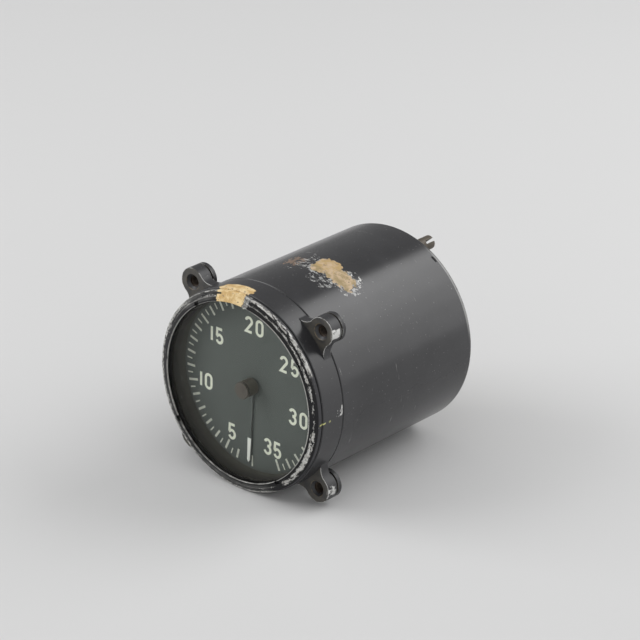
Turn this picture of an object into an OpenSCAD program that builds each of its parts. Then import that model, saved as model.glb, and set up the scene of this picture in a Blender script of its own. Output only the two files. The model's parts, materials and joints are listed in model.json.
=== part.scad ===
// Aircraft tachometer, 80 mm panel instrument with a central drive union at the back.
// Millimetres. The origin is on the instrument's axis, in the plane of the lug faces that meet the panel.
// +Y runs to the back, +Z is up and the dial faces -Y.
// Inside the modules the axis is local z, and clock angles are read from the front, 12 o'clock being up.

/* [Case] */
// Outside diameter of the front ring and the can
case_d = 80; // [76:0.5:88]
// Wall of the can's side
can_wall = 2; // [1.5:0.1:2.6]
// Wall of the can's back
back_wall = 2.5; // [1.8:0.1:4]
// Length of the can
can_length = 75.4; // [62:0.1:100]
// Radius of the can's rear edge
can_edge_r = 1.6; // [0.6:0.1:2]
// Thickness of the gasket in the seam between ring and can
seam_gap = 0.5; // [0.3:0.1:1.2]
// Depth of the gasket's outer edge below the case surface
seam_inset = 0.4; // [0.2:0.1:0.8]

/* [Front ring] */
// Front ring's reach in front of the panel plane
ring_front = 6.7; // [5.6:0.1:7.6]
// Front ring's reach behind the panel plane, up to the seam
ring_back = 4.1; // [3.8:0.1:7]
// Ring wall outside the bezel's thread
ring_lip = 1.55; // [1.2:0.05:2]
// Length of the spigot that centres the can
spigot_length = 4; // [2.5:0.1:6]
// Wall of that spigot
spigot_wall = 1.8; // [1.2:0.1:2.4]
// Radial gap where a seated piece slips into another
seat_gap = 0.2; // [0.05:0.05:0.3]
// Small bevel on the outer edges
edge_break = 0.3; // [0.1:0.05:0.5]

/* [Lugs] */
// Number of lugs
lug_count = 4; // [2:1:6]
// Clock angle of the first lug
lug_angle = 45; // [0:1:90]
// Distance of each lug hole outside the case surface
lug_offset = 5.25; // [4.8:0.05:7]
// Radius of the lug's rounded end
lug_end_r = 5.6; // [4.6:0.1:6.4]
// Radius of the fillet between lug and ring
lug_fillet_r = 6; // [3:0.1:9]
// Diameter of the lug's screw hole
lug_hole_d = 4.2; // [3:0.1:5]
// Bevel at the mouth of the lug's hole
lug_bevel = 1.1; // [0.4:0.1:1.4]
// Length of the round boss behind the lug
lug_boss_length = 3.35; // [2.6:0.05:5]
// Width of the saw slit that makes the boss grip its screw
slit_w = 0.8; // [0.4:0.1:1.2]
// Thickness of the leaf behind the slit
slit_leaf = 1.7; // [1:0.1:2]
// Metal left between the slit and the can
slit_bridge = 2; // [1.2:0.1:2.6]
// Gap between the boss and the can beneath it
boss_gap = 0.3; // [0.1:0.05:0.6]

/* [Bezel] */
// Step of the bezel's side below the case surface
bezel_inset = 0.43; // [0.2:0.01:0.8]
// Thickness of the lip that holds the glass
lip_t = 0.63; // [0.4:0.01:1.2]
// Rise of the bezel's face from its outer edge to the lip
bezel_slope = 1.23; // [0.6:0.01:1.8]
// Overlap of the lip on the glass
lip_overlap = 1.55; // [1:0.05:2.2]
// Wall of the threaded skirt
skirt_wall = 1; // [0.7:0.1:1.4]
// Depth of the skirt in the front ring
skirt_depth = 3.9; // [2:0.1:5]
// Groove left between the bezel and the front ring
groove_gap = 0.35; // [0.1:0.05:0.8]
// Radial gap of a thread or a screw in its hole
thread_gap = 0.05; // [0.02:0.01:0.1]
// Number of spanner notches in the lip
notch_count = 4; // [2:1:8]
// Clock angle of the first notch
notch_angle = -34.8; // [-90:0.1:90]
// Width of a notch
notch_w = 2.3; // [1:0.1:4]
// Depth of a notch into the lip
notch_depth = 1.5; // [0.8:0.1:2]

/* [Glass and dial] */
// Thickness of the cover glass
glass_t = 1.5; // [1:0.1:2.2]
// Thickness of the gasket under the glass
glass_gasket_t = 0.6; // [0.3:0.1:1]
// Width of that gasket
glass_gasket_w = 1.7; // [1:0.1:2]
// Height of the black ring between glass and dial
shade_h = 6.75; // [5.8:0.05:8]
// Wall of that ring
shade_wall = 2.2; // [1.6:0.1:3]
// Thickness of the dial
dial_t = 0.8; // [0.5:0.1:1.2]
// Depth of the dial's seat behind the panel plane
dial_setback = 0.2; // [0:0.1:0.6]
// Diameter of the hole in the dial
dial_hole_d = 4.8; // [3.8:0.1:6.4]
// Width of the shelf that carries the dial
shelf_w = 7.4; // [6.6:0.1:9]
// Thickness of that shelf
shelf_t = 3; // [2.6:0.1:3.6]

/* [Pointer] */
// Clock angle of the pointer at rest on its stop
pointer_rest = 182; // [180:0.5:190]
// Gap between the pointer's tip and the shade ring
tip_gap = 2.9; // [1:0.1:5]
// Length of the luminous bar
lume_length = 10.1; // [6:0.1:14]
// Width of the bar at its inner end
lume_w = 1.7; // [1.2:0.1:3]
// Width of the bar where its point starts
lume_tip_w = 1.3; // [0.8:0.1:1.9]
// Length of the bar's point
lume_point = 0.9; // [0.4:0.1:2]
// Thickness of the luminous compound
lume_t = 0.2; // [0.1:0.05:0.4]
// Metal showing around the bar
lume_border = 0.15; // [0.05:0.05:0.4]
// Thickness of the pointer
pointer_t = 0.4; // [0.25:0.05:0.8]
// Gap between pointer and dial
pointer_gap = 0.5; // [0.3:0.05:1]
// Width of the pointer's stem
stem_w = 1.3; // [0.8:0.1:1.8]
// Diameter of the pointer's eye
eye_d = 6; // [4.6:0.1:7]
// Diameter of the pointer's hub
hub_d = 6.7; // [6:0.1:9]
// Gap between the hub and the glass
hub_gap = 0.5; // [0.3:0.1:1.5]
// Bevel on the hub's front edge
hub_bevel = 0.2; // [0.2:0.1:1]
// Length of the hub's rim behind that bevel
hub_rim = 0.3; // [0.2:0.1:1]
// Width of the groove behind the rim
hub_groove_w = 0.9; // [0.4:0.1:1.5]
// Depth of that groove
hub_groove_depth = 0.7; // [0.3:0.1:1.2]
// Diameter of the hub's spigot in the pointer's eye
hub_spigot_d = 3; // [2.4:0.1:3.4]
// Depth of the staff in the hub
staff_grip = 5; // [3:0.1:6]
// Diameter of the pointer's staff
staff_d = 1.6; // [1.2:0.1:1.9]
// Diameter of the staff's rear pivot
pivot_d = 1; // [0.6:0.1:1.1]
// Length of that pivot
pivot_length = 1.8; // [1.2:0.1:2.4]
// Radial running clearance of a shaft in its bearing
run_gap = 0.04; // [0.02:0.01:0.08]

/* [Stop and hairspring] */
// Thickness of the stop arm on the staff
arm_t = 1.2; // [0.8:0.1:2]
// Width of the stop arm
arm_w = 1.1; // [0.8:0.1:1.3]
// Reach of the stop arm
arm_reach = 7; // [6.4:0.1:7.6]
// Diameter of the arm's boss
arm_boss_d = 4; // [3:0.1:5]
// Diameter of the stop pin
stop_pin_d = 1; // [0.8:0.1:1.2]
// Distance of the stop pin from the axis
stop_pin_radius = 5.6; // [5:0.1:6]
// Clock angle of the stop pin
stop_pin_angle = 90; // [0:1:360]
// Gap between arm and pin at rest
stop_gap = 0.2; // [0.1:0.05:0.4]
// Axial gap between neighbours that turn past each other
axial_gap = 0.4; // [0.3:0.05:0.8]
// Diameter of the hairspring's collet
collet_d = 4; // [3:0.1:5]
// Length of the collet
collet_length = 2.4; // [2:0.1:4]
// Turns of the hairspring
spring_turns = 6; // [3:1:6]
// Step from one turn of the hairspring to the next
spring_pitch = 1.25; // [0.9:0.05:1.35]
// Thickness of the hairspring's strip
spring_t = 0.3; // [0.15:0.05:0.35]
// Height of the hairspring's strip
spring_h = 1; // [0.6:0.1:1.4]
// Diameter of the stud that holds the hairspring's end
spring_stud_d = 1.8; // [1.2:0.1:2.6]

/* [Drag cup and magnet] */
// Distance from the collet to the drag cup's hub
cup_space = 2; // [0.5:0.1:5]
// Diameter of the drag cup's hub
cup_hub_d = 6; // [4:0.1:9]
// Length of the drag cup's hub
cup_hub_length = 1.8; // [1.2:0.1:3]
// Diameter of that hub's spigot in the cup
cup_spigot_d = 3; // [2.4:0.1:3.6]
// Wall of the drag cup
cup_wall = 0.8; // [0.5:0.1:1.2]
// Gap between the cup's end and the drive spindle
cup_end_gap = 2.5; // [2:0.1:3]
// Diameter of the magnet
magnet_d = 26.8; // [22:0.1:30]
// Length of the magnet
magnet_length = 14; // [8:0.1:18]
// Number of pole grooves in the magnet
pole_count = 6; // [2:2:8]
// Diameter of a pole groove
pole_groove_d = 3; // [1:0.1:4]
// Radial gap between magnet and drag cup
magnet_gap = 1; // [0.5:0.1:1.6]
// Radial gap between drag cup and flux cup
flux_gap = 1.4; // [0.6:0.1:2]
// Wall of the flux cup
flux_wall = 1.9; // [1.2:0.1:3]
// Length of the flux cup
flux_length = 21; // [18:0.1:21.5]
// Diameter of the hub inside the magnet
rotor_hub_d = 9; // [7.2:0.1:14]
// Overhang of that hub at each end of the magnet
rotor_hub_step = 0.5; // [0.3:0.1:1.5]
// Length of the spindle's nose in front of the rotor hub
spindle_nose = 0.6; // [0.3:0.1:1]

/* [Drive spindle] */
// Diameter of the drive spindle
spindle_d = 5; // [4.6:0.1:6]
// Diameter of the spindle's shoulder behind the rear bush
shoulder_d = 9.6; // [8:0.1:10]
// Thickness of that shoulder
shoulder_t = 2; // [1.2:0.1:2.6]
// Diameter of the spindle's socket end
socket_end_d = 6.8; // [5.6:0.1:7.6]
// Width of the square drive socket
socket_w = 2.7; // [2:0.1:3.2]
// Depth of the square drive socket
socket_depth = 9; // [5:0.5:12]
// Thickness of the thrust washer
washer_t = 1; // [0.6:0.1:1.6]
// Diameter of the thrust washer
washer_d = 9; // [7:0.1:11]
// Diameter of the jewel in the spindle's nose
jewel_d = 3.2; // [2.4:0.1:3.6]
// Length of the jewel
jewel_length = 1.6; // [1.2:0.1:2.2]

/* [Frame] */
// Thickness of the movement's front plate
plate_t = 2; // [1.5:0.1:3]
// Thickness of the rear plate
rear_plate_t = 4; // [3.4:0.1:6]
// Rear plate's gap inside the can
rear_plate_gap = 1.5; // [0.6:0.1:2]
// Number of pillars
pillar_count = 3; // [2:1:4]
// Diameter of a pillar
pillar_d = 6; // [4.6:0.1:7]
// Gap between the pillar screws' heads and the dial's shelf
pillar_inset = 0.4; // [0.2:0.1:1.5]
// Clock angle of the first pillar
pillar_angle = 30; // [24:1:36]
// Diameter of a pillar's rear spigot
pillar_spigot_d = 4; // [2.8:0.1:4.4]
// Outside diameter of the staff's bush
staff_bush_d = 5; // [3.4:0.1:6]
// Diameter of that bush's flange
staff_bush_flange_d = 7.2; // [6.4:0.1:9]
// Thickness of that flange
staff_bush_flange_t = 0.8; // [0.5:0.1:1.4]
// Length of that bush behind the front plate
staff_bush_tail = 1; // [0.4:0.1:2]

/* [Bearing sleeve] */
// Diameter of the bearing sleeve
sleeve_d = 15; // [13:0.1:16]
// Diameter of its front boss, which carries the flux cup
sleeve_boss_d = 12; // [10.6:0.1:12.6]
// Thickness of the flux cup's end on that boss
flux_end_t = 2; // [1.4:0.1:2.4]
// Diameter of the sleeve's flange
sleeve_flange_d = 26; // [25.6:0.1:30]
// Thickness of that flange
sleeve_flange_t = 3; // [2:0.1:4]
// Diameter of the sleeve's spigot in the rear plate
sleeve_spigot_d = 16; // [13:0.1:16.8]
// Length of that spigot
sleeve_spigot_length = 3; // [2:0.1:3.4]
// Outside diameter of the spindle's bushes
spindle_bush_d = 9; // [7:0.1:9.6]
// Length of a spindle bush
spindle_bush_length = 8; // [5:0.1:10]
// Number of the sleeve's screws
sleeve_screw_count = 4; // [2:1:4]

/* [Drive union] */
// Diameter of the union's thread
union_d = 18; // [16.8:0.1:18.6]
// Length of the union's thread
union_thread_length = 13; // [8:0.5:18]
// Length of the relief behind the thread
union_relief = 2; // [1:0.1:4]
// Depth of that relief
union_relief_depth = 0.9; // [0.3:0.1:1.2]
// Bevel at the union's end
union_bevel = 1; // [0.4:0.1:1.6]
// Diameter of the union's flange
union_flange_d = 30; // [29.2:0.1:34]
// Thickness of that flange
union_flange_t = 3; // [2.2:0.1:5]
// Thickness of the gasket under the flange
union_gasket_t = 0.5; // [0.3:0.1:1]
// Diameter of the bore for the drive cable's ferrule
ferrule_d = 12; // [10:0.1:13]
// Depth of that bore
ferrule_depth = 10; // [6:0.5:12]
// Radial gap around the turning spindle
spindle_gap = 0.8; // [0.4:0.1:1]
// Number of screws in the union's flange
union_screw_count = 4; // [2:1:4]
// Clock angle of the first of them
union_screw_angle = 45; // [40:1:50]

/* [Fasteners] */
// Head diameter of a frame screw
small_head_d = 4.2; // [3.6:0.1:4.6]
// Head height of a frame screw
small_head_h = 1.4; // [1:0.1:1.5]
// Thread diameter of a frame screw
small_screw_d = 2.5; // [2:0.1:2.6]
// Head diameter of a case screw
case_head_d = 5; // [4.2:0.1:5.2]
// Head height of a case screw
case_head_h = 2; // [1.4:0.1:3]
// Thread diameter of a case screw
case_screw_d = 3; // [2.5:0.1:3.2]
// Depth of a case screw in the rear plate
case_screw_grip = 3; // [2:0.1:3.3]
// Number of case screws
case_screw_count = 3; // [2:1:3]
// Clock angle of the first case screw
case_screw_angle = 60; // [54:1:72]
// Distance of the case screws inside the rear plate's edge
case_screw_inset = 6.5; // [5:0.1:8]
// Number of screws that hold the front plate
plate_screw_count = 4; // [2:1:6]
// Distance of those screws inside the plate's edge
plate_screw_inset = 2.8; // [2.5:0.1:3.4]
// Depth of those screws in the front ring
plate_screw_grip = 2.2; // [1.4:0.1:2.4]
// Depth of the pillar screws in the pillars
pillar_screw_grip = 6; // [4:0.5:12]
// Width of a screw's slot
slot_w = 0.6; // [0.4:0.1:0.9]
// Depth of a screw's slot
slot_depth = 0.7; // [0.4:0.1:0.9]

/* [Bonding screw] */
// Diameter of the tall slotted head on the back
bond_d = 5.5; // [4.6:0.1:6]
// Height of that head
bond_h = 8.4; // [6:0.1:14]
// Width of its slot
bond_slot_w = 1.3; // [0.6:0.1:1.4]
// Depth of its slot
bond_slot_depth = 4.5; // [2:0.5:5.5]
// Clock angle at which the slot lies
bond_slot_angle = 48; // [0:1:180]
// Clock angle of the screw
bond_angle = 15.6; // [10:0.1:18]
// Distance of the screw inside the rear plate's edge
bond_inset = 1.9; // [1.7:0.1:4]
// Diameter of its thread
bond_screw_d = 3; // [2.5:0.1:3.4]
// Diameter of its lock washer
bond_washer_d = 6.6; // [6:0.1:6.8]
// Thickness of its lock washer
bond_washer_t = 0.9; // [0.5:0.1:1.4]

/* [Hidden] */
$fn = 96;
// Overshoot of a cut past the face it opens
cut = 1;
// Steps along one turn of the hairspring
spring_steps = 24;
// Steps along an arc of the lug's outline
arc_steps = 20;
// Depth at which the lug's fillets run into the ring and into the lug's end
fillet_sink = 0.1;

// Radii, from the case surface inwards
case_r = case_d / 2;
can_in_r = case_r - can_wall;
thread_r = case_r - ring_lip;
skirt_out_r = thread_r - thread_gap;
skirt_in_r = skirt_out_r - skirt_wall;
glass_r = skirt_in_r - seat_gap;
lip_r = glass_r - lip_overlap;
shade_in_r = glass_r - shade_wall;
shelf_r = skirt_in_r - shelf_w;
spigot_r = can_in_r - seat_gap;
recess_r = spigot_r - spigot_wall;
plate_r = recess_r - seat_gap;
rear_plate_r = can_in_r - rear_plate_gap;
lug_r = case_r + lug_offset;
boss_r = case_r + boss_gap;
pillar_radius = shelf_r - small_head_d / 2 - pillar_inset;
plate_screw_radius = plate_r - plate_screw_inset;
case_screw_radius = rear_plate_r - case_screw_inset;
bond_radius = rear_plate_r - bond_inset;
sleeve_screw_radius = (sleeve_d + sleeve_flange_d) / 4;
union_screw_radius = (union_d + union_flange_d) / 4;
cup_in_r = magnet_d / 2 + magnet_gap;
cup_r = cup_in_r + cup_wall;
flux_in_r = cup_r + flux_gap;
flux_r = flux_in_r + flux_wall;
spindle_r = spindle_d / 2;
staff_r = staff_d / 2;

// Stations along the axis, from the glass back to the dial's shelf
dial_back = dial_setback;
dial_front = dial_back - dial_t;
shade_front = dial_front - shade_h;
glass_back = shade_front - glass_gasket_t;
glass_front = glass_back - glass_t;
lip_front = glass_front - lip_t;
bezel_edge = lip_front + bezel_slope;
shelf_back = dial_back + shelf_t;
pointer_back = dial_front - pointer_gap;
pointer_front = pointer_back - pointer_t;
hub_front = glass_back + hub_gap;
pointer_reach = shade_in_r - tip_gap;
lume_start = pointer_reach - lume_length;

// Stations of the movement, from the front plate back to the rotor
plate_back = shelf_back + plate_t;
arm_front = plate_back + staff_bush_tail + axial_gap;
arm_back = arm_front + arm_t;
stop_pin_end = arm_back + axial_gap / 2;
collet_back = arm_back + collet_length;
spring_front = collet_back - spring_h - axial_gap;
cup_hub_front = collet_back + cup_space;
cup_front = cup_hub_front + cup_hub_length;
cup_floor = cup_front + cup_wall;
spindle_front = cup_floor + cup_end_gap;
rotor_front = spindle_front + spindle_nose;
magnet_front = rotor_front + rotor_hub_step;
magnet_back = magnet_front + magnet_length;
rotor_back = magnet_back + rotor_hub_step;
washer_back = rotor_back + washer_t;
sleeve_front = washer_back + axial_gap;
flux_back = sleeve_front + flux_end_t;
pivot_start = spindle_front - axial_gap;

// Stations of the back
can_front = ring_back + seam_gap;
can_back = can_front + can_length;
can_floor = can_back - back_wall;
rear_plate_front = can_floor - rear_plate_t;
sleeve_flange_front = rear_plate_front - sleeve_flange_t;
sleeve_back = rear_plate_front + sleeve_spigot_length;
shoulder_front = sleeve_back + axial_gap;
shoulder_back = shoulder_front + shoulder_t;
union_front = can_back + union_gasket_t;
union_flange_back = union_front + union_flange_t;
union_thread_front = union_flange_back + union_relief;
union_thread_back = union_thread_front + union_thread_length;
union_back = union_thread_back + union_bevel;
ferrule_seat = union_back - ferrule_depth;
socket_end = ferrule_seat - axial_gap;

// Angle between the stop pin and the arm that rests on it
stop_angle = asin((stop_pin_d / 2 + stop_gap + arm_w / 2) / stop_pin_radius);
arm_angle = stop_pin_angle + stop_angle;

// Hairspring: its middle line starts on the collet and ends at the stud
spring_start_r = collet_d / 2 + spring_t / 2;
spring_end_r = spring_start_r + spring_pitch * spring_turns;
spring_end_angle = 360 * spring_turns;
stud_angle = spring_end_angle + asin((spring_stud_d / 2 + axial_gap / 4) / spring_end_r);

// Lays local z along the instrument's axis, towards the back
module on_axis() {
  rotate([-90, 0, 0]) children();
}

// Puts a child at a clock angle and a distance from the axis
module at_clock(angle, radius) {
  rotate([0, 0, angle]) translate([0, -radius, 0]) children();
}

// Repeats a child evenly round the axis
module ring_of(count, first_angle, radius) {
  for (i = [0 : count - 1]) at_clock(first_angle + i * 360 / count, radius) children();
}

// Solid cylinder between two stations
module rod(r, z0, z1) {
  translate([0, 0, z0]) cylinder(r = r, h = z1 - z0);
}

// Hollow cylinder between two stations
module tube(r_out, r_in, z0, z1) {
  rotate_extrude() polygon([[r_in, z0], [r_out, z0], [r_out, z1], [r_in, z1]]);
}

// Slotted screw with its head in front of z = 0
module slotted_screw(head_d, head_h, screw_d, length) {
  difference() {
    union() {
      rod(head_d / 2, -head_h, 0);
      rod(screw_d / 2, 0, length);
    }
    translate([-head_d / 2 - cut, -slot_w / 2, -head_h - cut])
      cube([head_d + 2 * cut, slot_w, slot_depth + cut]);
  }
}

// Points along an arc, between two clock angles read at its centre
function arc(centre, r, from, to) =
  [for (i = [0 : arc_steps]) let (a = from + (to - from) * i / arc_steps) centre + r * [sin(a), -cos(a)]];

// Web between the ring and the lug's round end, seen along the axis towards 12 o'clock
module lug_web() {
  fillet_ring_r = case_r - fillet_sink + lug_fillet_r;
  fillet_end_r = lug_end_r - fillet_sink + lug_fillet_r;
  turn = acos((lug_r ^ 2 + fillet_ring_r ^ 2 - fillet_end_r ^ 2) / (2 * lug_r * fillet_ring_r));
  lean = atan2(-fillet_ring_r * sin(turn), lug_r - fillet_ring_r * cos(turn));
  right = fillet_ring_r * [sin(turn), -cos(turn)];
  left = fillet_ring_r * [-sin(turn), -cos(turn)];
  root_r = (case_r + spigot_r) / 2;
  polygon(concat(arc([0, 0], root_r, -turn, turn),
    arc(right, lug_fillet_r, turn - 180, lean), arc(left, lug_fillet_r, -lean, 180 - turn)));
}

// Lug with the round boss behind it, which a saw slit makes springy
module lug() {
  boss_back = ring_back + lug_boss_length;
  slit_back = boss_back - slit_leaf;
  slit_reach = lug_offset + lug_end_r;
  linear_extrude(height = ring_back) lug_web();
  difference() {
    translate([0, -lug_r, 0]) rod(lug_end_r, 0, boss_back);
    rod(boss_r, ring_back, boss_back + cut);
    translate([-slit_reach, -boss_r - slit_bridge - slit_reach, slit_back - slit_w])
      cube([2 * slit_reach, slit_reach, slit_w]);
  }
}

// Screw hole of a lug, beveled at the panel side
module lug_hole() {
  hole_r = lug_hole_d / 2;
  translate([0, -lug_r, 0]) {
    rod(hole_r, -cut, ring_back + lug_boss_length + cut);
    translate([0, 0, -cut]) cylinder(r1 = hole_r + lug_bevel + cut, r2 = hole_r, h = lug_bevel + cut);
  }
}

// Front ring casting: bezel thread, dial shelf, can spigot and the four lugs
module front_ring() {
  color("#2b2c2e") on_axis() difference() {
    union() {
      rotate_extrude() polygon([[0, -ring_front], [case_r - edge_break, -ring_front],
        [case_r, -ring_front + edge_break], [case_r, ring_back], [spigot_r, ring_back],
        [spigot_r, ring_back + spigot_length], [0, ring_back + spigot_length]]);
      ring_of(lug_count, lug_angle, 0) lug();
    }
    rod(thread_r, -ring_front - cut, skirt_depth - ring_front);
    rod(skirt_in_r, -ring_front, dial_back);
    rod(shelf_r, dial_back - cut, shelf_back + cut);
    rod(recess_r, shelf_back, ring_back + spigot_length + cut);
    ring_of(lug_count, lug_angle, 0) lug_hole();
    ring_of(plate_screw_count, 0, plate_screw_radius)
      rod(small_screw_d / 2 + thread_gap, shelf_back - plate_screw_grip - axial_gap / 2, shelf_back + cut);
  }
}

// Screwed bezel with a sloping face and spanner notches in its lip
module bezel_ring() {
  bezel_r = case_r - bezel_inset;
  shoulder = -ring_front - groove_gap;
  skirt_back = skirt_depth - ring_front - axial_gap;
  color("#26272a") on_axis() difference() {
    rotate_extrude() polygon([[lip_r, glass_front], [lip_r, lip_front + edge_break / 2],
      [lip_r + edge_break / 2, lip_front], [bezel_r - edge_break, bezel_edge],
      [bezel_r, bezel_edge + edge_break], [bezel_r, shoulder], [skirt_out_r, shoulder],
      [skirt_out_r, skirt_back], [skirt_in_r, skirt_back], [skirt_in_r, glass_front]]);
    ring_of(notch_count, notch_angle, lip_r)
      translate([-notch_w / 2, -notch_depth, lip_front - cut])
        cube([notch_w, notch_depth + cut, lip_t + cut]);
  }
}

module cover_glass() {
  color("#dfe6e4", 0.35) on_axis() rod(glass_r, glass_front, glass_back);
}

module glass_gasket() {
  color("#1c1c1c") on_axis() tube(glass_r, glass_r - glass_gasket_w, glass_back, shade_front);
}

// Black ring that stands on the dial and carries the glass
module shade_ring() {
  color("#161616") on_axis() tube(glass_r, shade_in_r, shade_front, dial_front);
}

module dial_plate() {
  color("#4d5552") on_axis() tube(glass_r, dial_hole_d / 2, dial_front, dial_back);
}

// Can: one deep shell with a rounded rear edge
module case_can() {
  color("#2b2c2e") on_axis() difference() {
    rotate_extrude() difference() {
      union() {
        polygon([[0, can_front], [case_r - edge_break, can_front], [case_r, can_front + edge_break],
          [case_r, can_back - can_edge_r], [0, can_back - can_edge_r]]);
        translate([0, can_back - 2 * can_edge_r]) square([case_r - can_edge_r, 2 * can_edge_r]);
        translate([case_r - can_edge_r, can_back - can_edge_r]) circle(r = can_edge_r);
      }
      translate([-cut, can_front - cut]) square([can_in_r + cut, can_length - back_wall + cut]);
      translate([-case_d, can_front - cut]) square([case_d, can_length + 2 * cut]);
    }
    rod(union_d / 2 + seat_gap, can_floor - cut, can_back + cut);
    ring_of(case_screw_count, case_screw_angle, case_screw_radius)
      rod(case_screw_d / 2 + thread_gap, can_floor - cut, can_back + cut);
    ring_of(union_screw_count, union_screw_angle, union_screw_radius)
      rod(case_screw_d / 2 + thread_gap, can_floor - cut, can_back + cut);
    at_clock(bond_angle, bond_radius)
      rod(bond_screw_d / 2 + thread_gap, can_floor - cut, can_back + cut);
  }
}

// Gasket that fills the seam, a little below the surface
module case_gasket() {
  color("#121212") on_axis() tube(case_r - seam_inset, spigot_r + thread_gap, ring_back, can_front);
}

// Screws through the can's back into the rear plate
module case_screws() {
  color("#8d8a82") on_axis() ring_of(case_screw_count, case_screw_angle, case_screw_radius)
    translate([0, 0, can_back]) mirror([0, 0, 1])
      slotted_screw(case_head_d, case_head_h, case_screw_d, back_wall + case_screw_grip);
}

module front_plate() {
  screw_r = small_screw_d / 2 + thread_gap;
  color("#b9a46a") on_axis() difference() {
    rod(plate_r, shelf_back, plate_back);
    rod(staff_bush_d / 2 + thread_gap, shelf_back - cut, plate_back + cut);
    ring_of(plate_screw_count, 0, plate_screw_radius) rod(screw_r, shelf_back - cut, plate_back + cut);
    ring_of(pillar_count, pillar_angle, pillar_radius) rod(screw_r, shelf_back - cut, plate_back + cut);
    at_clock(stop_pin_angle, stop_pin_radius)
      rod(stop_pin_d / 2 + thread_gap, shelf_back - cut, plate_back + cut);
    at_clock(stud_angle, spring_end_r)
      rod(spring_stud_d / 2 + thread_gap, shelf_back - cut, plate_back + cut);
  }
}

// Screws through the front plate into the ring's shelf
module plate_screws() {
  color("#8d8a82") on_axis() ring_of(plate_screw_count, 0, plate_screw_radius)
    translate([0, 0, plate_back]) mirror([0, 0, 1])
      slotted_screw(small_head_d, small_head_h, small_screw_d, plate_t + plate_screw_grip);
}

// Pillars between the plates, each with a spigot in the rear plate
module frame_pillars() {
  color("#b9a46a") on_axis() ring_of(pillar_count, pillar_angle, pillar_radius) difference() {
    union() {
      rod(pillar_d / 2, plate_back, rear_plate_front);
      rod(pillar_spigot_d / 2, rear_plate_front, can_floor);
    }
    rod(small_screw_d / 2 + thread_gap, plate_back - cut, plate_back + pillar_screw_grip + cut);
  }
}

module pillar_screws() {
  color("#8d8a82") on_axis() ring_of(pillar_count, pillar_angle, pillar_radius)
    translate([0, 0, shelf_back])
      slotted_screw(small_head_d, small_head_h, small_screw_d, plate_t + pillar_screw_grip);
}

module rear_plate() {
  case_hole_r = case_screw_d / 2 + thread_gap;
  color("#b9a46a") on_axis() difference() {
    rod(rear_plate_r, rear_plate_front, can_floor);
    rod(sleeve_spigot_d / 2 + thread_gap, rear_plate_front - cut, can_floor + cut);
    ring_of(pillar_count, pillar_angle, pillar_radius)
      rod(pillar_spigot_d / 2 + thread_gap, rear_plate_front - cut, can_floor + cut);
    ring_of(case_screw_count, case_screw_angle, case_screw_radius)
      rod(case_hole_r, rear_plate_front - cut, can_floor + cut);
    ring_of(union_screw_count, union_screw_angle, union_screw_radius)
      rod(case_hole_r, rear_plate_front - cut, can_floor + cut);
    ring_of(sleeve_screw_count, 0, sleeve_screw_radius)
      rod(small_screw_d / 2 + thread_gap, rear_plate_front - cut, can_floor + cut);
    at_clock(bond_angle, bond_radius)
      rod(bond_screw_d / 2 + thread_gap, rear_plate_front - cut, can_floor + cut);
  }
}

// Flanged bush that carries the pointer's staff in the front plate
module staff_bush() {
  bush_r = staff_bush_d / 2;
  bore_r = staff_r + run_gap;
  flange_r = staff_bush_flange_d / 2;
  flange_front = shelf_back - staff_bush_flange_t;
  bush_back = plate_back + staff_bush_tail;
  color("#c9a54a") on_axis() rotate_extrude() polygon([[bore_r, flange_front], [flange_r, flange_front],
    [flange_r, shelf_back], [bush_r, shelf_back], [bush_r, bush_back], [bore_r, bush_back]]);
}

module stop_pin() {
  color("#9a9a9a") on_axis() at_clock(stop_pin_angle, stop_pin_radius)
    rod(stop_pin_d / 2, shelf_back, stop_pin_end);
}

module hairspring_stud() {
  color("#c9a54a") on_axis() at_clock(stud_angle, spring_end_r)
    rod(spring_stud_d / 2, shelf_back, collet_back);
}

// Point on the hairspring, a turn count along it and a distance off its middle line
function spring_point(turns, off) =
  let (r = spring_start_r + spring_pitch * turns + off)
  [r * sin(360 * turns), -r * cos(360 * turns)];

// Flat spiral strip between the collet and the stud
module hairspring() {
  last = spring_steps * spring_turns;
  outer = [for (i = [0 : last]) spring_point(i / spring_steps, spring_t / 2)];
  inner = [for (i = [last : -1 : 0]) spring_point(i / spring_steps, -spring_t / 2)];
  color("#6d7f9c") on_axis() translate([0, 0, spring_front])
    linear_extrude(height = spring_h) polygon(concat(outer, inner));
}

module hairspring_collet() {
  color("#c9a54a") on_axis() tube(collet_d / 2 - thread_gap, staff_r, arm_back, collet_back);
}

// Arm on the staff that meets the stop pin at each end of the pointer's travel
module stop_arm() {
  color("#c9a54a") on_axis() difference() {
    union() {
      rod(arm_boss_d / 2, arm_front, arm_back);
      rotate([0, 0, arm_angle]) translate([-arm_w / 2, -arm_reach, arm_front])
        cube([arm_w, arm_reach, arm_t]);
    }
    rod(staff_r, arm_front - cut, arm_back + cut);
  }
}

// Outline of the pointer's bar, from its inner end to its point
module bar_outline(border) {
  root = lume_w / 2 + border;
  shoulder = lume_tip_w / 2 + border;
  point_start = lume_point - pointer_reach;
  polygon([[-root, border - lume_start], [root, border - lume_start], [shoulder, point_start],
    [0, -pointer_reach - border], [-shoulder, point_start]]);
}

// Pointer: an eye, a thin stem and a bar
module pointer() {
  color("#1d1f1e") on_axis() rotate([0, 0, pointer_rest]) difference() {
    union() {
      rod(eye_d / 2, pointer_front, pointer_back);
      translate([-stem_w / 2, -lume_start - lume_w, pointer_front])
        cube([stem_w, lume_start + lume_w, pointer_t]);
      translate([0, 0, pointer_front]) linear_extrude(height = pointer_t) bar_outline(lume_border);
    }
    rod(hub_spigot_d / 2 + thread_gap, pointer_front - cut, pointer_back + cut);
  }
}

// Luminous compound on the pointer's bar
module pointer_lume() {
  color("#cdd4be") on_axis() rotate([0, 0, pointer_rest]) translate([0, 0, pointer_front - lume_t])
    linear_extrude(height = lume_t) bar_outline(0);
}

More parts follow.
